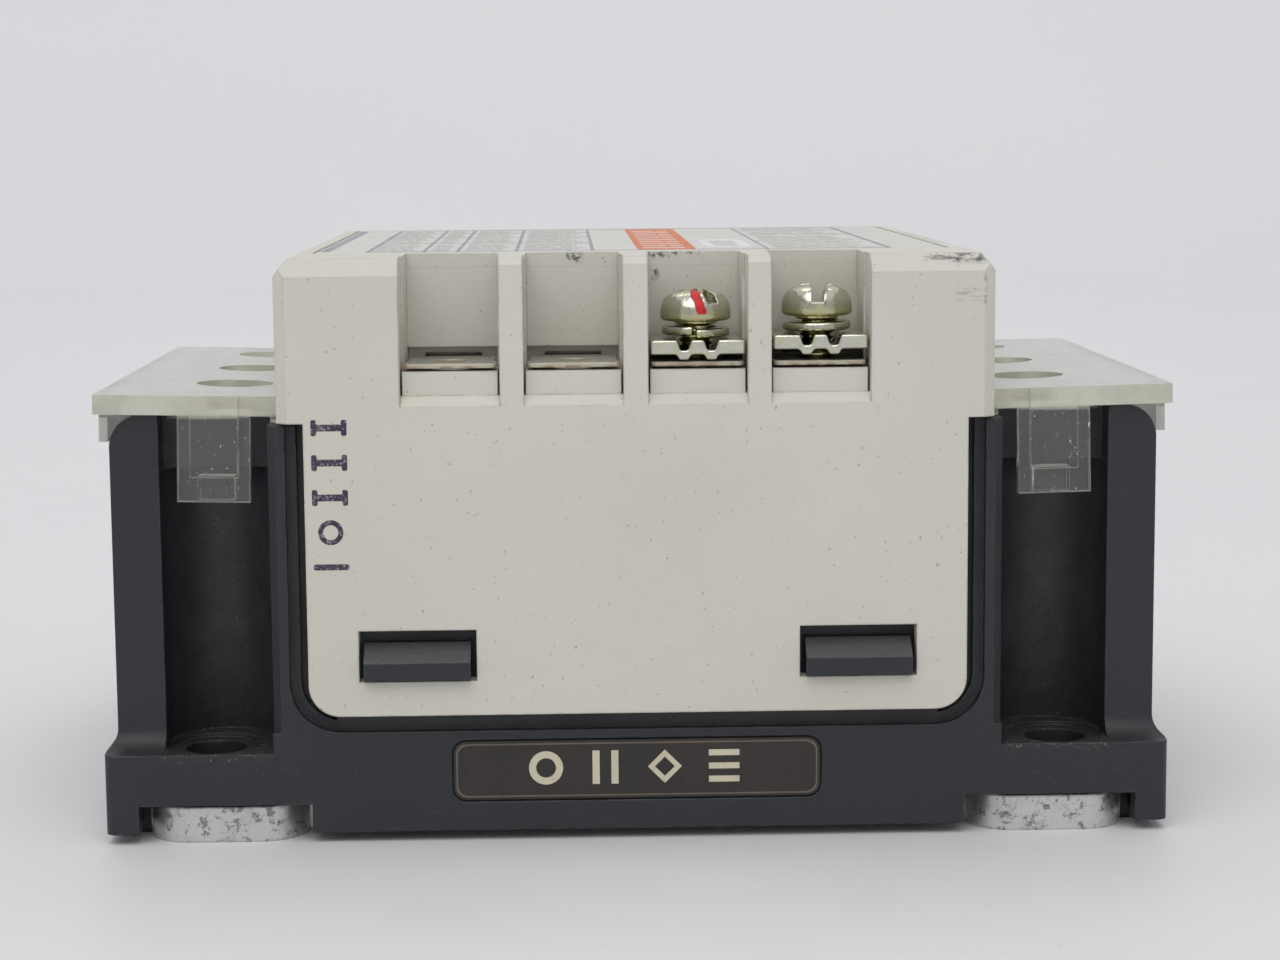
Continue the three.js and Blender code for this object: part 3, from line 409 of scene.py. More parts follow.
def tin_plate():
    g = Graph("tin_plate")
    dark = g.span(g.noise(0.5, 5, 0.65), 0.5, 0.68)
    level = g.facing("Z")
    front = g.calc("SUBTRACT", 1.0, level)
    brown = g.times(front, g.span(g.noise(1.4, 3), 0.42, 0.56), g.span(g.z, 48.0, 48.2, 1.0, 0.2))
    colour = g.layers(
        (0.34, 0.33, 0.285),
        (g.times(dark, 0.6), (0.17, 0.165, 0.14)),
        # painted light: faces that do not look up are painted lighter and yellower than the top, which is
        # left darker
        (g.times(front, 0.7), (0.60, 0.56, 0.43)),
        (g.times(brown, 0.8), (0.34, 0.20, 0.12)),
    )
    surface = g.bump(g.noise(0.3, 4, 0.6), 0.03)
    return g.set(Base_Color=colour, Metallic=0.35, Roughness=g.span(dark, 0.0, 1.0, 0.42, 0.6),
                 Normal=surface)


def plated_copper():
    g = Graph("plated_copper")
    bare = g.span(g.noise(1.8, 4, 0.6), 0.5, 0.66)
    colour = g.layers(
        (0.66, 0.62, 0.55),
        (g.times(bare, 0.55), (0.60, 0.34, 0.20)),
        (g.span(g.noise(0.6, 4), 0.56, 0.7, 0.0, 0.5), (0.22, 0.17, 0.12)),
    )
    return g.set(Base_Color=colour, Metallic=0.95, Roughness=g.span(bare, 0.0, 1.0, 0.28, 0.45),
                 Normal=g.bump(g.noise(0.4, 3, 0.5, (4, 1, 1)), 0.02))


def printed_film(name, base, second, rough, dirt=0.3):
    """Printed film or ink: slight colour drift, fine grain and grime."""
    g = Graph(name)
    drift = g.span(g.noise(6, 3), 0.35, 0.7)
    grime = g.times(g.span(g.noise(1.2, 5, 0.7), 0.52, 0.72), dirt)
    colour = g.layers(base, (g.times(drift, 0.6), second), (grime, shaded(second, 0.45)))
    return g.set(Base_Color=colour, Roughness=g.span(g.noise(1.5, 3), 0.3, 0.7, rough, rough + 0.14),
                 Normal=g.bump(g.noise(0.25, 3), 0.008), IOR=1.48)


def stamp_ink():
    """Thin ink that lets the white plastic show through where it is starved."""
    g = Graph("stamp_ink")
    starved = g.span(g.noise(0.32, 4, 0.7), 0.50, 0.66, 0.0, 0.75)
    colour = g.layers((0.035, 0.025, 0.055), (starved, (0.42, 0.39, 0.40)))
    return g.set(Base_Color=colour, Roughness=g.span(starved, 0.0, 1.0, 0.4, 0.55),
                 Normal=g.bump(g.noise(0.2, 2), 0.005))


def laminate():
    g = Graph("laminate")
    weave = g.calc("ADD", g.noise(0.5, 1, 0.5, (6, 1, 1)), g.noise(0.5, 1, 0.5, (1, 6, 1)))
    lines = g.calc("PINGPONG", g.calc("ADD", g.y, g.span(g.noise(14, 1), 0.4, 0.6, 0.0, 5.0)), 1.6)
    tracks = g.times(g.span(lines, 1.1, 1.25), g.span(g.noise(9, 1), 0.45, 0.52))
    colour = g.layers((0.020, 0.13, 0.055), (tracks, (0.045, 0.24, 0.10)),
                      (g.span(weave, 0.9, 1.2, 0.0, 0.3), (0.012, 0.09, 0.04)))
    return g.set(Base_Color=colour, Roughness=g.span(g.noise(2, 3), 0.3, 0.7, 0.3, 0.45),
                 Normal=g.bump(weave, 0.02, g.bump(tracks, 0.03)))


def speckled(name, base, second, rough, size, depth):
    """A fired, moulded or dipped surface with fine speckle and a slightly uneven skin."""
    g = Graph(name)
    speckle = g.span(g.noise(size, 4, 0.65), 0.42, 0.66)
    colour = g.layers(base, (g.times(speckle, 0.7), second),
                      (g.times(g.specks(0.4, 0.72), 0.6), shaded(second, 0.5)))
    return g.set(Base_Color=colour, Roughness=g.span(speckle, 0.0, 1.0, rough, rough + 0.16),
                 Normal=g.bump(g.noise(size, 3), depth, g.bump(g.noise(4, 2), 2 * depth)))


def pale_floor():
    g = Graph("pale_floor")
    drift = g.span(g.noise(180, 3), 0.35, 0.7)
    colour = g.layers((0.79, 0.79, 0.80), (g.times(drift, 0.5), (0.77, 0.77, 0.785)),
                      (g.times(g.specks(0.8, 0.765), 0.4), (0.40, 0.40, 0.43)))
    return g.set(Base_Color=colour, Roughness=g.span(g.noise(30, 3), 0.3, 0.7, 0.5, 0.6),
                 Normal=g.bump(g.noise(1.2, 3), 0.02))


# ---------------------------------------------------------------- mesh building, in millimetres
def quads(bm, rings):
    """Joins each ring of vertices to the next one; the rings themselves are closed loops."""
    count = len(rings[0])
    for near, far in zip(rings, rings[1:]):
        for i in range(count):
            j = (i + 1) % count
            bm.faces.new((near[i], near[j], far[j], far[i]))


def in_plan(a, b, level):
    """A drawing in x and y, at levels along Z."""
    return (a, b, level)


def in_elevation(a, b, level):
    """A drawing in x and z, at levels along Y."""
    return (a, level, b)


def add_prism(bm, outline, low, high, lay=in_plan):
    """A prism of that outline between two levels."""
    rings = [[bm.verts.new(lay(a, b, level)) for a, b in outline] for level in (low, high)]
    quads(bm, rings)
    bm.faces.new(list(reversed(rings[0])))
    bm.faces.new(rings[1])


def add_lathe(bm, profile, segments):
    """Turns (radius, height) points round Z; the first and last lie on the axis."""
    rings = [[bm.verts.new((r * math.cos(math.tau * i / segments), r * math.sin(math.tau * i / segments), z))
              for i in range(segments)] for r, z in profile[1:-1]]
    quads(bm, rings)
    for ring, (_, z) in ((rings[0], profile[0]), (rings[-1], profile[-1])):
        tip = bm.verts.new((0, 0, z))
        for i in range(segments):
            bm.faces.new((ring[i], ring[(i + 1) % segments], tip))


def add_sweep(bm, section, start, end, steps, lead):
    """Sweeps a section of (radius, height) points round Z from one angle to another, climbing by lead."""
    rings = []
    for i in range(steps + 1):
        share = i / steps
        angle = start + (end - start) * share
        rings.append([bm.verts.new((r * math.cos(angle), r * math.sin(angle), z + lead * share))
                      for r, z in section])
    quads(bm, rings)
    bm.faces.new(rings[0])
    bm.faces.new(list(reversed(rings[-1])))


def rectangle(x, y):
    return [(x[0], y[0]), (x[1], y[0]), (x[1], y[1]), (x[0], y[1])]


def rounded_rectangle(x, y, radius, steps=6):
    points = []
    corners = ((x[1] - radius, y[0] + radius, -90), (x[1] - radius, y[1] - radius, 0),
               (x[0] + radius, y[1] - radius, 90), (x[0] + radius, y[0] + radius, 180))
    for cx, cy, start in corners:
        for i in range(steps + 1):
            angle = math.radians(start + 90 * i / steps)
            points.append((cx + radius * math.cos(angle), cy + radius * math.sin(angle)))
    return points


def circle(x, y, radius, segments=32):
    return [(x + radius * math.cos(math.tau * i / segments), y + radius * math.sin(math.tau * i / segments))
            for i in range(segments)]


def make(name, build, smooth=True):
    """An object whose mesh build(bm) makes in millimetres."""
    bm = bmesh.new()
    build(bm)
    bmesh.ops.recalc_face_normals(bm, faces=bm.faces)
    mesh = bpy.data.meshes.new(name)
    bm.to_mesh(mesh)
    bm.free()
    mesh.transform(Matrix.Scale(MM, 4))
    mesh.polygons.foreach_set("use_smooth", [smooth] * len(mesh.polygons))
    piece = bpy.data.objects.new(name, mesh)
    bpy.context.scene.collection.objects.link(piece)
    return piece


def settle(piece):
    """Applies a piece's modifiers to its mesh."""
    bpy.context.view_layer.update()
    shaped = piece.evaluated_get(bpy.context.evaluated_depsgraph_get())
    piece.data = bpy.data.meshes.new_from_object(shaped)
    piece.modifiers.clear()


def carve(piece, cutter):
    """Cuts one mesh out of another, and takes the cutter away."""
    cut = piece.modifiers.new("carve", "BOOLEAN")
    cut.object, cut.operation, cut.solver = cutter, "DIFFERENCE", "EXACT"
    settle(piece)
    bpy.data.objects.remove(cutter)


def smooth_by_angle():
    """A geometry node group that shades smoothly across every edge flatter than 28 degrees."""
    group = bpy.data.node_groups.get("smooth_by_angle")
    if group:
        return group
    group = bpy.data.node_groups.new("smooth_by_angle", "GeometryNodeTree")
    group.interface.new_socket("Geometry", in_out="INPUT", socket_type="NodeSocketGeometry")
    group.interface.new_socket("Geometry", in_out="OUTPUT", socket_type="NodeSocketGeometry")
    start, end = group.nodes.new("NodeGroupInput"), group.nodes.new("NodeGroupOutput")
    angle = group.nodes.new("GeometryNodeInputMeshEdgeAngle")
    sharp = group.nodes.new("FunctionNodeCompare")
    sharp.operation = "GREATER_THAN"
    sharp.inputs[1].default_value = math.radians(28)
    shade = group.nodes.new("GeometryNodeSetMeshNormal")
    shade.mode = "SHARPNESS"
    shade.inputs["Remove Custom"].default_value = True
    shade.inputs["Face Sharpness"].default_value = False
    group.links.new(start.outputs[0], shade.inputs["Mesh"])
    group.links.new(angle.outputs["Unsigned Angle"], sharp.inputs[0])
    group.links.new(sharp.outputs[0], shade.inputs["Edge Sharpness"])
    group.links.new(shade.outputs[0], end.inputs[0])
    return group


def soften(piece, width, segments=2, angle=35):
    """Rounds the edges and evens the shading, by modifiers that leave the mesh as it is.

    A width of zero leaves the edges alone, for pieces whose material rounds them instead.
    """
    weld = piece.modifiers.new("weld", "WELD")
    weld.merge_threshold = 0.002 * MM
    if width == 0:
        piece.modifiers.new("shading", "NODES").node_group = smooth_by_angle()
        return
    flatten = piece.modifiers.new("flatten", "DECIMATE")
    flatten.decimate_type = "DISSOLVE"
    flatten.angle_limit = math.radians(0.5)
    rounding = piece.modifiers.new("rounding", "BEVEL")
    rounding.width = width * MM
    rounding.segments = segments
    rounding.limit_method = "ANGLE"
    rounding.angle_limit = math.radians(angle)
    rounding.use_clamp_overlap = False
    rounding.miter_outer = "MITER_ARC"
    shading = piece.modifiers.new("shading", "WEIGHTED_NORMAL")
    shading.weight = 80
    shading.keep_sharp = False


def dress(piece, material):
    piece.data.materials.clear()
    piece.data.materials.append(material)


def centre_on(piece, node, lift):
    """Puts a piece over the middle of a CAD node, lift millimetres above its lowest point."""
    low, high = box_mm(node)
    piece.location = Vector(((low.x + high.x) / 2, (low.y + high.y) / 2, low.z + lift)) * MM


def stands_for(piece, node, body):
    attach(piece, body)
    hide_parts(node)


# ---------------------------------------------------------------- screws and washers
def head_profile(radius, height, neck):
    """Pan head: a flat underside, a small rounded rim, steep sides and a flattened dome."""
    rim = 0.13 * height
    points = [(neck, 0.0)]
    for i in range(5):
        turn = math.radians(22.5 * i)
        points.append((radius - rim + rim * math.sin(turn), rim * (1 - math.cos(turn))))
    power = 2 / HEAD_CURVE
    for i in range(1, 14):
        turn = math.radians(90 * i / 14)
        points.append((radius * math.cos(turn) ** power,
                       rim + (height - rim) * math.sin(turn) ** power))
    return points


def screw_body(bm, head, height, neck, shank, length, pitch):
    core = shank - 0.55 * pitch
    profile = [(0, -length), (core * 0.8, -length), (core, -length + 0.4), (core, -0.5), (neck, -0.3),
               (neck, 0)] + head_profile(head, height, neck)[1:] + [(0, height)]
    add_lathe(bm, profile, 72)
    turns = (length - 1.2) / pitch
    section = [(core - 0.05, 0.0), (core - 0.05, 0.86 * pitch), (shank, 0.5 * pitch), (shank, 0.36 * pitch)]
    thread = [(r, z - length + 0.3) for r, z in section]
    add_sweep(bm, thread, 0, math.tau * turns, int(40 * turns), pitch * turns)


def slot_cutter(bm, width, depth, flare, head, height):
    """A slot along Y; flare is how much one wall leans out above half its depth."""
    half = width / 2
    outline = [(-half, height - depth), (half, height - depth), (half + 0.12 * flare, height - 0.55 * depth),
               (half + flare, height + 0.1), (half + flare, height + 1), (-half, height + 1)]
    add_prism(bm, outline, -head - 1, head + 1, in_elevation)


def cross_cutter(bm, width, depth, reach, height):
    """A short slot across the first one, narrower at its bottom; reach is half its length."""
    rings = []
    for z, share in ((height - depth, 0.55), (height + 0.6, 1.0)):
        a, b = width / 2 * share, reach * share
        rings.append([bm.verts.new((x, y, z)) for x, y in ((-b, -a), (b, -a), (b, a), (-b, a))])
    quads(bm, rings)
    bm.faces.new(list(reversed(rings[0])))
    bm.faces.new(rings[1])


def pan_screw(name, head, height, neck, shank, length, pitch, slot, depth, flare=0.0):
    """A pan head screw with a cross recess; head, neck and shank are radii, its head's underside at zero."""
    screw = make(name, lambda bm: screw_body(bm, head, height, neck, shank, length, pitch))
    carve(screw, make("cutter", lambda bm: slot_cutter(bm, slot, depth, flare, head, height)))
    carve(screw, make("cutter", lambda bm: cross_cutter(bm, slot, 0.85 * depth, 0.55 * head, height)))
    soften(screw, 0.07, 2, 40)
    return screw


def place_screw(screw, node, turn, material):
    """Puts a screw where its CAD node is, turned about its own axis."""
    length = -min(v.co.z for v in screw.data.vertices) / MM
    centre_on(screw, node, length)
    screw.rotation_euler = (0, 0, turn)
    dress(screw, material)
    stands_for(screw, node, node)


def control_screws():
    plain = zinc_steel("zinc_screw")
    marked = zinc_steel("zinc_screw_marked", paint=lambda g: paint_stroke(turned_back(g, TURN_OF_FIRST)))
    for number, turn, depth, flare, material in ((1, TURN_OF_FIRST, 1.35, 0.0, marked),
                                                 (2, -0.06, 1.7, 0.75, plain)):
        screw = pan_screw(f"control_screw_{number}_detailed", HEAD_RADIUS, HEAD_HEIGHT, neck=2.2, shank=1.72,
                          length=7.6, pitch=0.6, slot=1.2, depth=depth, flare=flare)
        place_screw(screw, f"control_screw_{number}", turn, material)


def turned_back(g, turn):
    """Makes the graph's x and y those of the piece before it was turned about Z."""
    c, s = math.cos(turn), math.sin(turn)
    x, y = g.x, g.y
    g.x = g.calc("SUBTRACT", g.calc("MULTIPLY", x, c), g.calc("MULTIPLY", y, s))
    g.y = g.calc("ADD", g.calc("MULTIPLY", x, s), g.calc("MULTIPLY", y, c))
    return g


def main_screws():
    material = zinc_steel("zinc_main_screw", 0.0, 3.4)
    for number in range(1, 7):
        screw = pan_screw(f"main_screw_{number}_detailed", 4.4, 3.4, neck=2.9, shank=2.48,
                          length=12.0, pitch=0.8, slot=1.3, depth=1.9)
        place_screw(screw, f"main_screw_{number}", 0.9 * number, material)


def spring_washers():
    material = zinc_steel("zinc_spring_washer", 0.0, 1.2)
    inner, outer, thickness, lead, gap, round_off = 2.05, 3.4, 0.92, 0.3, 0.07, 0.34
    section = rounded_rectangle((inner, outer), (0, thickness), round_off, 3)
    for number, split in ((1, -1.66), (2, 1.3)):
        node = f"spring_washer_{number}"
        washer = make(f"{node}_detailed", lambda bm: add_sweep(bm, section, gap, math.tau - gap, 96, lead))
        centre_on(washer, node, 0.02)
        washer.rotation_euler = (0, 0, split)
        soften(washer, 0.05, 1, 40)
        dress(washer, material)
        stands_for(washer, node, f"control_washers_{number}")


def square_washers():
    """Ribbed square washers: two ribs pressed down beside the screw leave valleys in the top."""
    material = zinc_steel("zinc_square_washer", -2.0, 0.4, 0.1)
    half, thickness = 4.68, 1.42
    top, bottom = [], []
    for side in (-1, 1):
        valley = [(2.05, thickness), (1.72, 0.42), (0.98, 0.42), (0.62, thickness)]
        rib = [(2.12, 0.0), (1.82, -0.53), (0.92, -0.53), (0.6, 0.0)]
        order = 1 if side < 0 else -1
        top += [(side * x, z) for x, z in valley[::order]]
        bottom += [(side * x, z) for x, z in rib[::order]]
    outline = [(-half, thickness)] + top + [(half, thickness), (half, 0.0)] + bottom[::-1] + [(-half, 0.0)]
    for number in (1, 2):
        node = f"square_washer_{number}"
        washer = make(f"{node}_detailed", lambda bm: add_prism(bm, outline, -half, half, in_elevation))
        carve(washer, make("cutter", lambda bm: add_prism(bm, circle(0, 0, 2.1), -2, 3)))
        soften(washer, 0.2, 3, 30)
        centre_on(washer, node, 0.55)
        dress(washer, material)
        stands_for(washer, node, f"control_washers_{number}")


def terminal_slot_shades():
    """A thin rounded grey strip closes the slot above each control terminal's tail; its grey is painted
    shade, standing in for the white wall in shade there.
    """
    half, low, high = 3.0, 0.06, 0.28
    outline = rounded_rectangle((-half, half), (low, high), 0.08, 3)
    # painted shade: the strips are grey, as the white wall looks in shade
    shade = speckled("terminal_slot_shade", (0.40, 0.39, 0.35), (0.34, 0.33, 0.30), 0.5, 0.8, 0.02)
    for number in range(1, 5):
        inside, top = box_mm(f"control_terminal_{number}")
        shade_strip = make(f"terminal_slot_shade_{number}", lambda bm: add_prism(bm, outline, -0.35, 0.35, in_elevation))
        shade_strip.location = Vector(((inside.x + top.x) / 2, inside.y + 11.2, top.z)) * MM
        dress(shade_strip, shade)
        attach(shade_strip, BODY)


# ---------------------------------------------------------------- printed pieces
def print_on_front(name, outlines, face, thickness, material):
    """Flat marks on a face that looks along -Y, standing out by their thickness."""
    def build(bm):
        for outline in outlines:
            add_prism(bm, outline, face - thickness, face + 0.05, in_elevation)
    piece = make(name, build, smooth=False)
    dress(piece, material)
    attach(piece, BODY)


def ring_outlines(x, z, outer, inner, segments=40):
    """A ring as short wedges, so that each outline stays simple."""
    wedges = []
    for i in range(segments):
        a, b = math.tau * i / segments, math.tau * (i + 1) / segments
        wedges.append([(x + outer * math.cos(a), z + outer * math.sin(a)),
                       (x + outer * math.cos(b), z + outer * math.sin(b)),
                       (x + inner * math.cos(b), z + inner * math.sin(b)),
                       (x + inner * math.cos(a), z + inner * math.sin(a))])
    return wedges


def frame_outlines(outer, width):
    """A closed line of that width just inside an outline of points."""
    middle_x = sum(x for x, _ in outer) / len(outer)
    middle_z = sum(z for _, z in outer) / len(outer)
    half_x = max(x for x, _ in outer) - middle_x
    half_z = max(z for _, z in outer) - middle_z
    inner = [(middle_x + (x - middle_x) * (1 - width / half_x),
              middle_z + (z - middle_z) * (1 - width / half_z)) for x, z in outer]
    pairs = zip(outer, outer[1:] + outer[:1], inner[1:] + inner[:1], inner)
    return [list(points) for points in pairs]


def front_label():
    x = (LABEL_LOW.x, LABEL_HIGH.x)
    z = (LABEL_LOW.z, LABEL_HIGH.z)
    film = printed_film("label_film", (0.030, 0.024, 0.021), (0.022, 0.018, 0.017), 0.34)
    cream = printed_film("label_cream", (0.66, 0.61, 0.46), (0.58, 0.53, 0.39), 0.45)
    dress(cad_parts["front_label"], film)
    soften(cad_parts["front_label"], 0.06, 2)
    border = rounded_rectangle((x[0] + 0.25, x[1] - 0.25), (z[0] + 0.25, z[1] - 0.25), 1.1)
    beige = printed_film("label_border", (0.15, 0.125, 0.095), (0.11, 0.095, 0.075), 0.45)
    face = LABEL_LOW.y
    print_on_front("front_label_border", frame_outlines(border, 0.16), face, 0.02, beige)
    middle_x, middle_z = (x[0] + x[1]) / 2 - 0.2, (z[0] + z[1]) / 2 + 0.2
    pitch, half, stroke = 6.0, 1.72, 0.72
    marks = ring_outlines(middle_x - 1.5 * pitch, middle_z, half, half - stroke)
    for side in (-1, 1):
        centre = middle_x - 0.5 * pitch + side * 0.95
        marks.append(rectangle((centre - stroke / 2, centre + stroke / 2),
                               (middle_z - half, middle_z + half)))
    x2 = middle_x + 0.5 * pitch
    diamond = [(x2 - half, middle_z), (x2, middle_z - half), (x2 + half, middle_z), (x2, middle_z + half)]
    marks += frame_outlines(diamond, stroke)
    x3 = middle_x + 1.5 * pitch
    for step in (-1, 0, 1):
        level = middle_z + step * (half - stroke / 2)
        marks.append(rectangle((x3 - half * 0.9, x3 + half * 0.9), (level - 0.31, level + 0.31)))
    print_on_front("front_label_marks", marks, face, 0.03, cream)


def ink_marks():
    """Generic inspection marks stamped one above the other near the left edge of the white front."""
    middle, low, high = -30.4, 28.4, 42.3
    pitch = (high - low) / 4
    half = 1.8
    marks = []
    for step in (4, 3, 2):
        level = low + step * pitch
        marks.append(rectangle((middle - half + 0.57, middle + half - 0.57), (level - 0.34, level + 0.34)))
        for side in (-1, 1):
            tick = middle + side * (half - 0.3)
            marks.append(rounded_rectangle((tick - 0.28, tick + 0.28), (level - 0.8, level + 0.8), 0.2, 3))
    marks += ring_outlines(middle, low + pitch, 1.25, 0.75)
    marks += [rounded_rectangle((middle - half, middle + half), (low - 0.3, low + 0.3), 0.28, 3)]
    print_on_front("inspection_ink", marks, FRONT, 0.012, stamp_ink())


def print_on_top(name, outlines, material, level=0.0):
    """Flat print on the nameplate, level millimetres above its film."""
    def build(bm):
        for outline in outlines:
            add_prism(bm, outline, FILM_TOP - 0.02, FILM_TOP + 0.02 + level)
    piece = make(name, build, smooth=False)
    dress(piece, material)
    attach(piece, BODY)


def text_rows(x, y, pitch, height, shares):
    """Short bars in rows, standing for lines of print; shares are each row's filled parts."""
    bars = []
    width = x[1] - x[0]
    count = int((y[1] - y[0]) / pitch)
    for row in range(count):
        level = y[0] + (row + 0.5) * pitch
        start = x[0]
        for share in shares[row % len(shares)]:
            end = min(start + share * width, x[1])
            bars.append(rectangle((start, end), (level - height / 2, level + height / 2)))
            start = end + 0.06 * width
            if start > x[1] - 0.1:
                break
    return bars


def nameplate():
    low, high = PLATE_LOW, PLATE_HIGH
    sheet = make("top_nameplate_film", lambda bm: add_prism(
        bm, rounded_rectangle((low.x, high.x), (low.y, high.y), 1.0), low.z, FILM_TOP))
    soften(sheet, 0.08, 2)
    dress(sheet, printed_film("nameplate_film", (0.66, 0.655, 0.61), (0.60, 0.595, 0.56), 0.42, 0.4))
    stands_for(sheet, "top_nameplate", BODY)
    grey = printed_film("nameplate_grey", (0.36, 0.35, 0.39), (0.30, 0.29, 0.33), 0.5)
    faint = printed_film("nameplate_faint_grey", (0.50, 0.495, 0.49), (0.44, 0.435, 0.435), 0.5)
    orange = printed_film("nameplate_orange", (0.70, 0.20, 0.075), (0.62, 0.18, 0.075), 0.5)
    white = printed_film("nameplate_white", (0.78, 0.78, 0.76), (0.70, 0.70, 0.69), 0.4)
    left, right = -27.5, 27.1
    near, far = low.y + 1.1, high.y - 1.6
    rows = [near + share * (far - near) for share in (0.34, 0.62, 0.84)]
    columns = [-21.5, -18.0, -11.9, -4.0]
    lines = frame_outlines(rectangle((left, right), (near, far)), 0.5)
    lines += [rectangle((x - 0.18, x + 0.18), (near, far)) for x in columns]
    lines += [rectangle((left, columns[-1]), (y - 0.15, y + 0.15)) for y in rows]
    lines += [rectangle((14.2, right), (y - 0.15, y + 0.15)) for y in rows]
    lines.append(rectangle((14.05, 14.35), (near, far)))
    lines.append(rectangle((low.x + 0.3, low.x + 1.3), (low.y + 3, high.y - 3)))
    print_on_top("nameplate_lines", lines, grey)
    cells = []
    edges_x = [left] + columns
    edges_y = [near] + rows + [far]
    shares = ((0.30, 0.42, 0.12), (0.55, 0.25), (0.22, 0.22, 0.30), (0.78,), (0.4, 0.16, 0.2))
    for i, (x0, x1) in enumerate(zip(edges_x, edges_x[1:])):
        for j, (y0, y1) in enumerate(zip(edges_y, edges_y[1:])):
            offset = (i + 2 * j) % len(shares)
            rotated = shares[offset:] + shares[:offset]
            cells += text_rows((x0 + 0.7, x1 - 0.7), (y0 + 1.0, y1 - 1.0), 2.2, 0.75, rotated)
    for y0, y1 in zip(edges_y, edges_y[1:]):
        cells += text_rows((15.2, right - 1.2), (y0 + 1.0, y1 - 1.0), 2.6, 0.85, shares)
    print_on_top("nameplate_text_bars", cells, faint)
    block = rounded_rectangle((0.7, 6.8), (near + 0.6, far - 1.2), 0.4)
    block_rows = text_rows((1.4, 6.2), (near + 2, far - 3), 5.5, 1.4, ((0.9,), (0.55, 0.3)))
    oval = rounded_rectangle((8.1, 13.0), (near + 5, near + 27), 2.4, 10)
    oval_rows = text_rows((9.1, 12.1), (near + 8, near + 24), 2.4, 0.8, ((0.9,), (0.5, 0.3)))
    print_on_top("nameplate_orange_block", [block], orange)
    print_on_top("nameplate_orange_rows", block_rows, white, 0.01)
    print_on_top("nameplate_oval", [oval], white)
    print_on_top("nameplate_oval_rows", oval_rows, grey, 0.01)


# ---------------------------------------------------------------- CAD nodes that stay
def carried_over():
    """Materials, rounded edges and even shading for the CAD nodes that stay in view."""
    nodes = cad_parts
    white, black = white_plastic(), black_plastic()
    clear, tin, copper = clear_plastic(), tin_plate(), plated_copper()
    washer = zinc_steel("zinc_main_washer", 34.0, 36.0)
    fastener = zinc_steel("zinc_fastener", 0.0, 12.0)
    resin = speckled("moulded_resin", (0.018, 0.018, 0.020), (0.030, 0.030, 0.032), 0.42, 0.3, 0.02)
    alumina = speckled("alumina", (0.78, 0.77, 0.73), (0.70, 0.69, 0.66), 0.45, 0.4, 0.01)
    case = speckled("capacitor_case", (0.62, 0.40, 0.06), (0.52, 0.33, 0.05), 0.32, 0.7, 0.02)
    coating = speckled("varistor_coating", (0.03, 0.08, 0.30), (0.025, 0.06, 0.22), 0.28, 1.2, 0.04)
    looks = {
        "top_housing": (white, 0, 0), "base_frame": (black, 0, 0),
        "base_plate": (aluminium_plate(), 0, 0), "circuit_board": (laminate(), 0, 0),
        "right_terminal_cover": (clear, 0, 0), "left_terminal_cover": (clear, 0, 0),
    }
    for i in range(1, 5):
        looks[f"control_terminal_{i}"] = (tin, 0.12, 2)
        looks[f"frame_screw_{i}"] = (fastener, 0.1, 1)
    for i in range(1, 3):
        looks[f"board_screw_{i}"] = (fastener, 0.06, 1)
    for i in range(1, 7):
        looks[f"main_washer_{i}"] = (washer, 0.2, 3)
    for i in range(1, 4):
        looks[f"line_terminal_{i}"] = (copper, 0.15, 2)
        looks[f"load_terminal_{i}"] = (copper, 0.15, 2)
        looks[f"ceramic_substrate_{i}"] = (alumina, 0.06, 1)
        looks[f"thyristor_module_{i}"] = (resin, 0.2, 2)
        looks[f"optocoupler_{i}"] = (resin, 0.1, 2)
        looks[f"snubber_capacitor_{i}"] = (case, 0.4, 3)
        looks[f"varistor_{i}"] = (coating, 0.8, 4)
    for node, (material, width, segments) in looks.items():
        soften(nodes[node], width, segments)
        dress(nodes[node], material)


# ---------------------------------------------------------------- floor, lights and camera
def stage():
    """A round pale floor that curves up all round, the same from every side."""
    radius, rise, wall = 900.0, 500.0, 300.0
    flat_rings, bend_rings, segments = 15, 24, 96
    profile = [(radius * i / flat_rings, 0.0) for i in range(1, flat_rings + 1)]
    for i in range(1, bend_rings + 1):
        turn = math.radians(90 * i / bend_rings)
        profile.append((radius + rise * math.sin(turn), rise * (1 - math.cos(turn))))
    profile.append((radius + rise, rise + wall))

    def build(bm):
        around = [math.tau * i / segments for i in range(segments)]
        rings = [[bm.verts.new((r * math.cos(turn), r * math.sin(turn), z)) for turn in around]
                 for r, z in profile]
        quads(bm, rings)
        middle = bm.verts.new((0, 0, 0))
        for i in range(segments):
            bm.faces.new((rings[0][i], rings[0][(i + 1) % segments], middle))

    floor = make("floor", build)
    dress(floor, pale_floor())


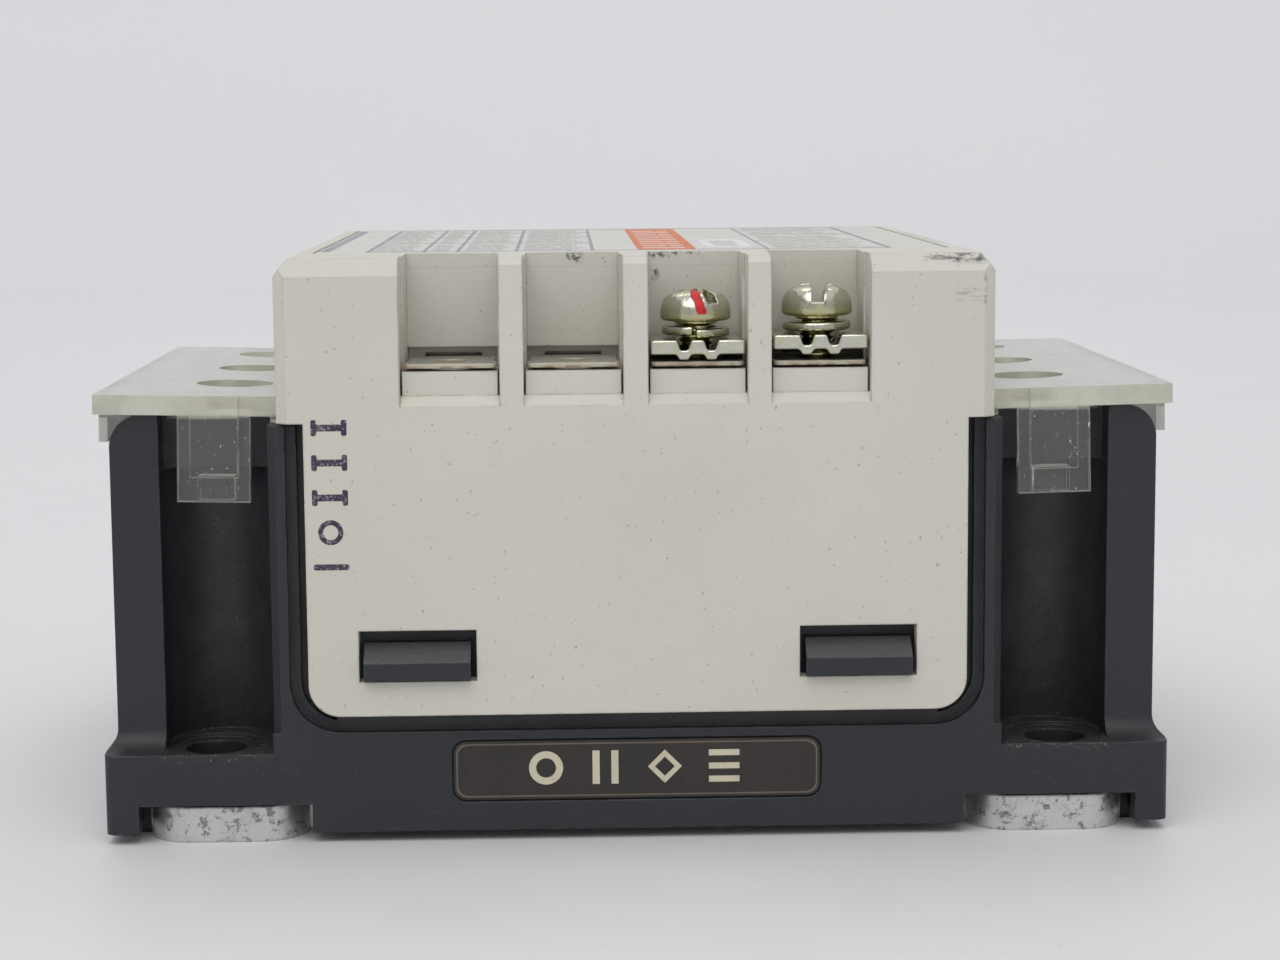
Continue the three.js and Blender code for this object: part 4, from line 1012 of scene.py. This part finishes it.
def soft_light(name, location, target, size, watts, colour=(1, 1, 1)):
    lamp = bpy.data.lights.new(name, "AREA")
    lamp.shape = "DISK"
    lamp.size = size
    lamp.energy = watts
    lamp.color = colour
    holder = bpy.data.objects.new(name, lamp)
    holder.location = location
    aim = Vector(target) - Vector(location)
    holder.rotation_euler = aim.to_track_quat("-Z", "Y").to_euler()
    bpy.context.scene.collection.objects.link(holder)


def lights():
    soft_light("key_softbox", (-0.1, -0.55, 0.85), (0, 0, 0.02), 1.0, KEY, (1.0, 0.997, 0.985))
    soft_light("backdrop_softbox", (0.0, 0.7, 1.15), (0, 1.4, 0.25), 1.0, BACKDROP)
    soft_light("front_softbox", (0.15, -1.05, 0.3), (0, 0, 0.03), 0.7, FILL, (0.98, 0.99, 1.0))
    world = bpy.data.worlds.new("studio")
    world.use_nodes = True
    background = world.node_tree.nodes["Background"]
    background.inputs["Color"].default_value = (0.975, 0.983, 1.0, 1)
    background.inputs["Strength"].default_value = AMBIENT
    bpy.context.scene.world = world


def camera():
    """Low in front, a little left of the middle, as a hand-held close-up."""
    pitch, yaw, roll = math.radians(7.239), math.radians(1.611), math.radians(-0.465)
    forward = Vector((math.sin(yaw) * math.cos(pitch), math.cos(yaw) * math.cos(pitch), -math.sin(pitch)))
    level_right = Vector((math.cos(yaw), -math.sin(yaw), 0))
    level_up = level_right.cross(forward)
    right = math.cos(roll) * level_right + math.sin(roll) * level_up
    up = -math.sin(roll) * level_right + math.cos(roll) * level_up
    turn = Matrix((right, up, -forward)).transposed()
    lens = bpy.data.cameras.new("camera")
    lens.lens = 76.26
    lens.sensor_width = 36
    lens.clip_start = 0.01
    holder = bpy.data.objects.new("camera", lens)
    holder.matrix_world = Matrix.Translation(Vector((-7.22, -307.24, 70.64)) * MM) @ turn.to_4x4()
    bpy.context.scene.collection.objects.link(holder)
    bpy.context.scene.camera = holder


# ---------------------------------------------------------------- the whole scene
carried_over()
control_screws()
spring_washers()
square_washers()
main_screws()
terminal_slot_shades()
front_label()
ink_marks()
nameplate()
stage()
lights()
camera()
bpy.context.scene.view_settings.view_transform = "Standard"
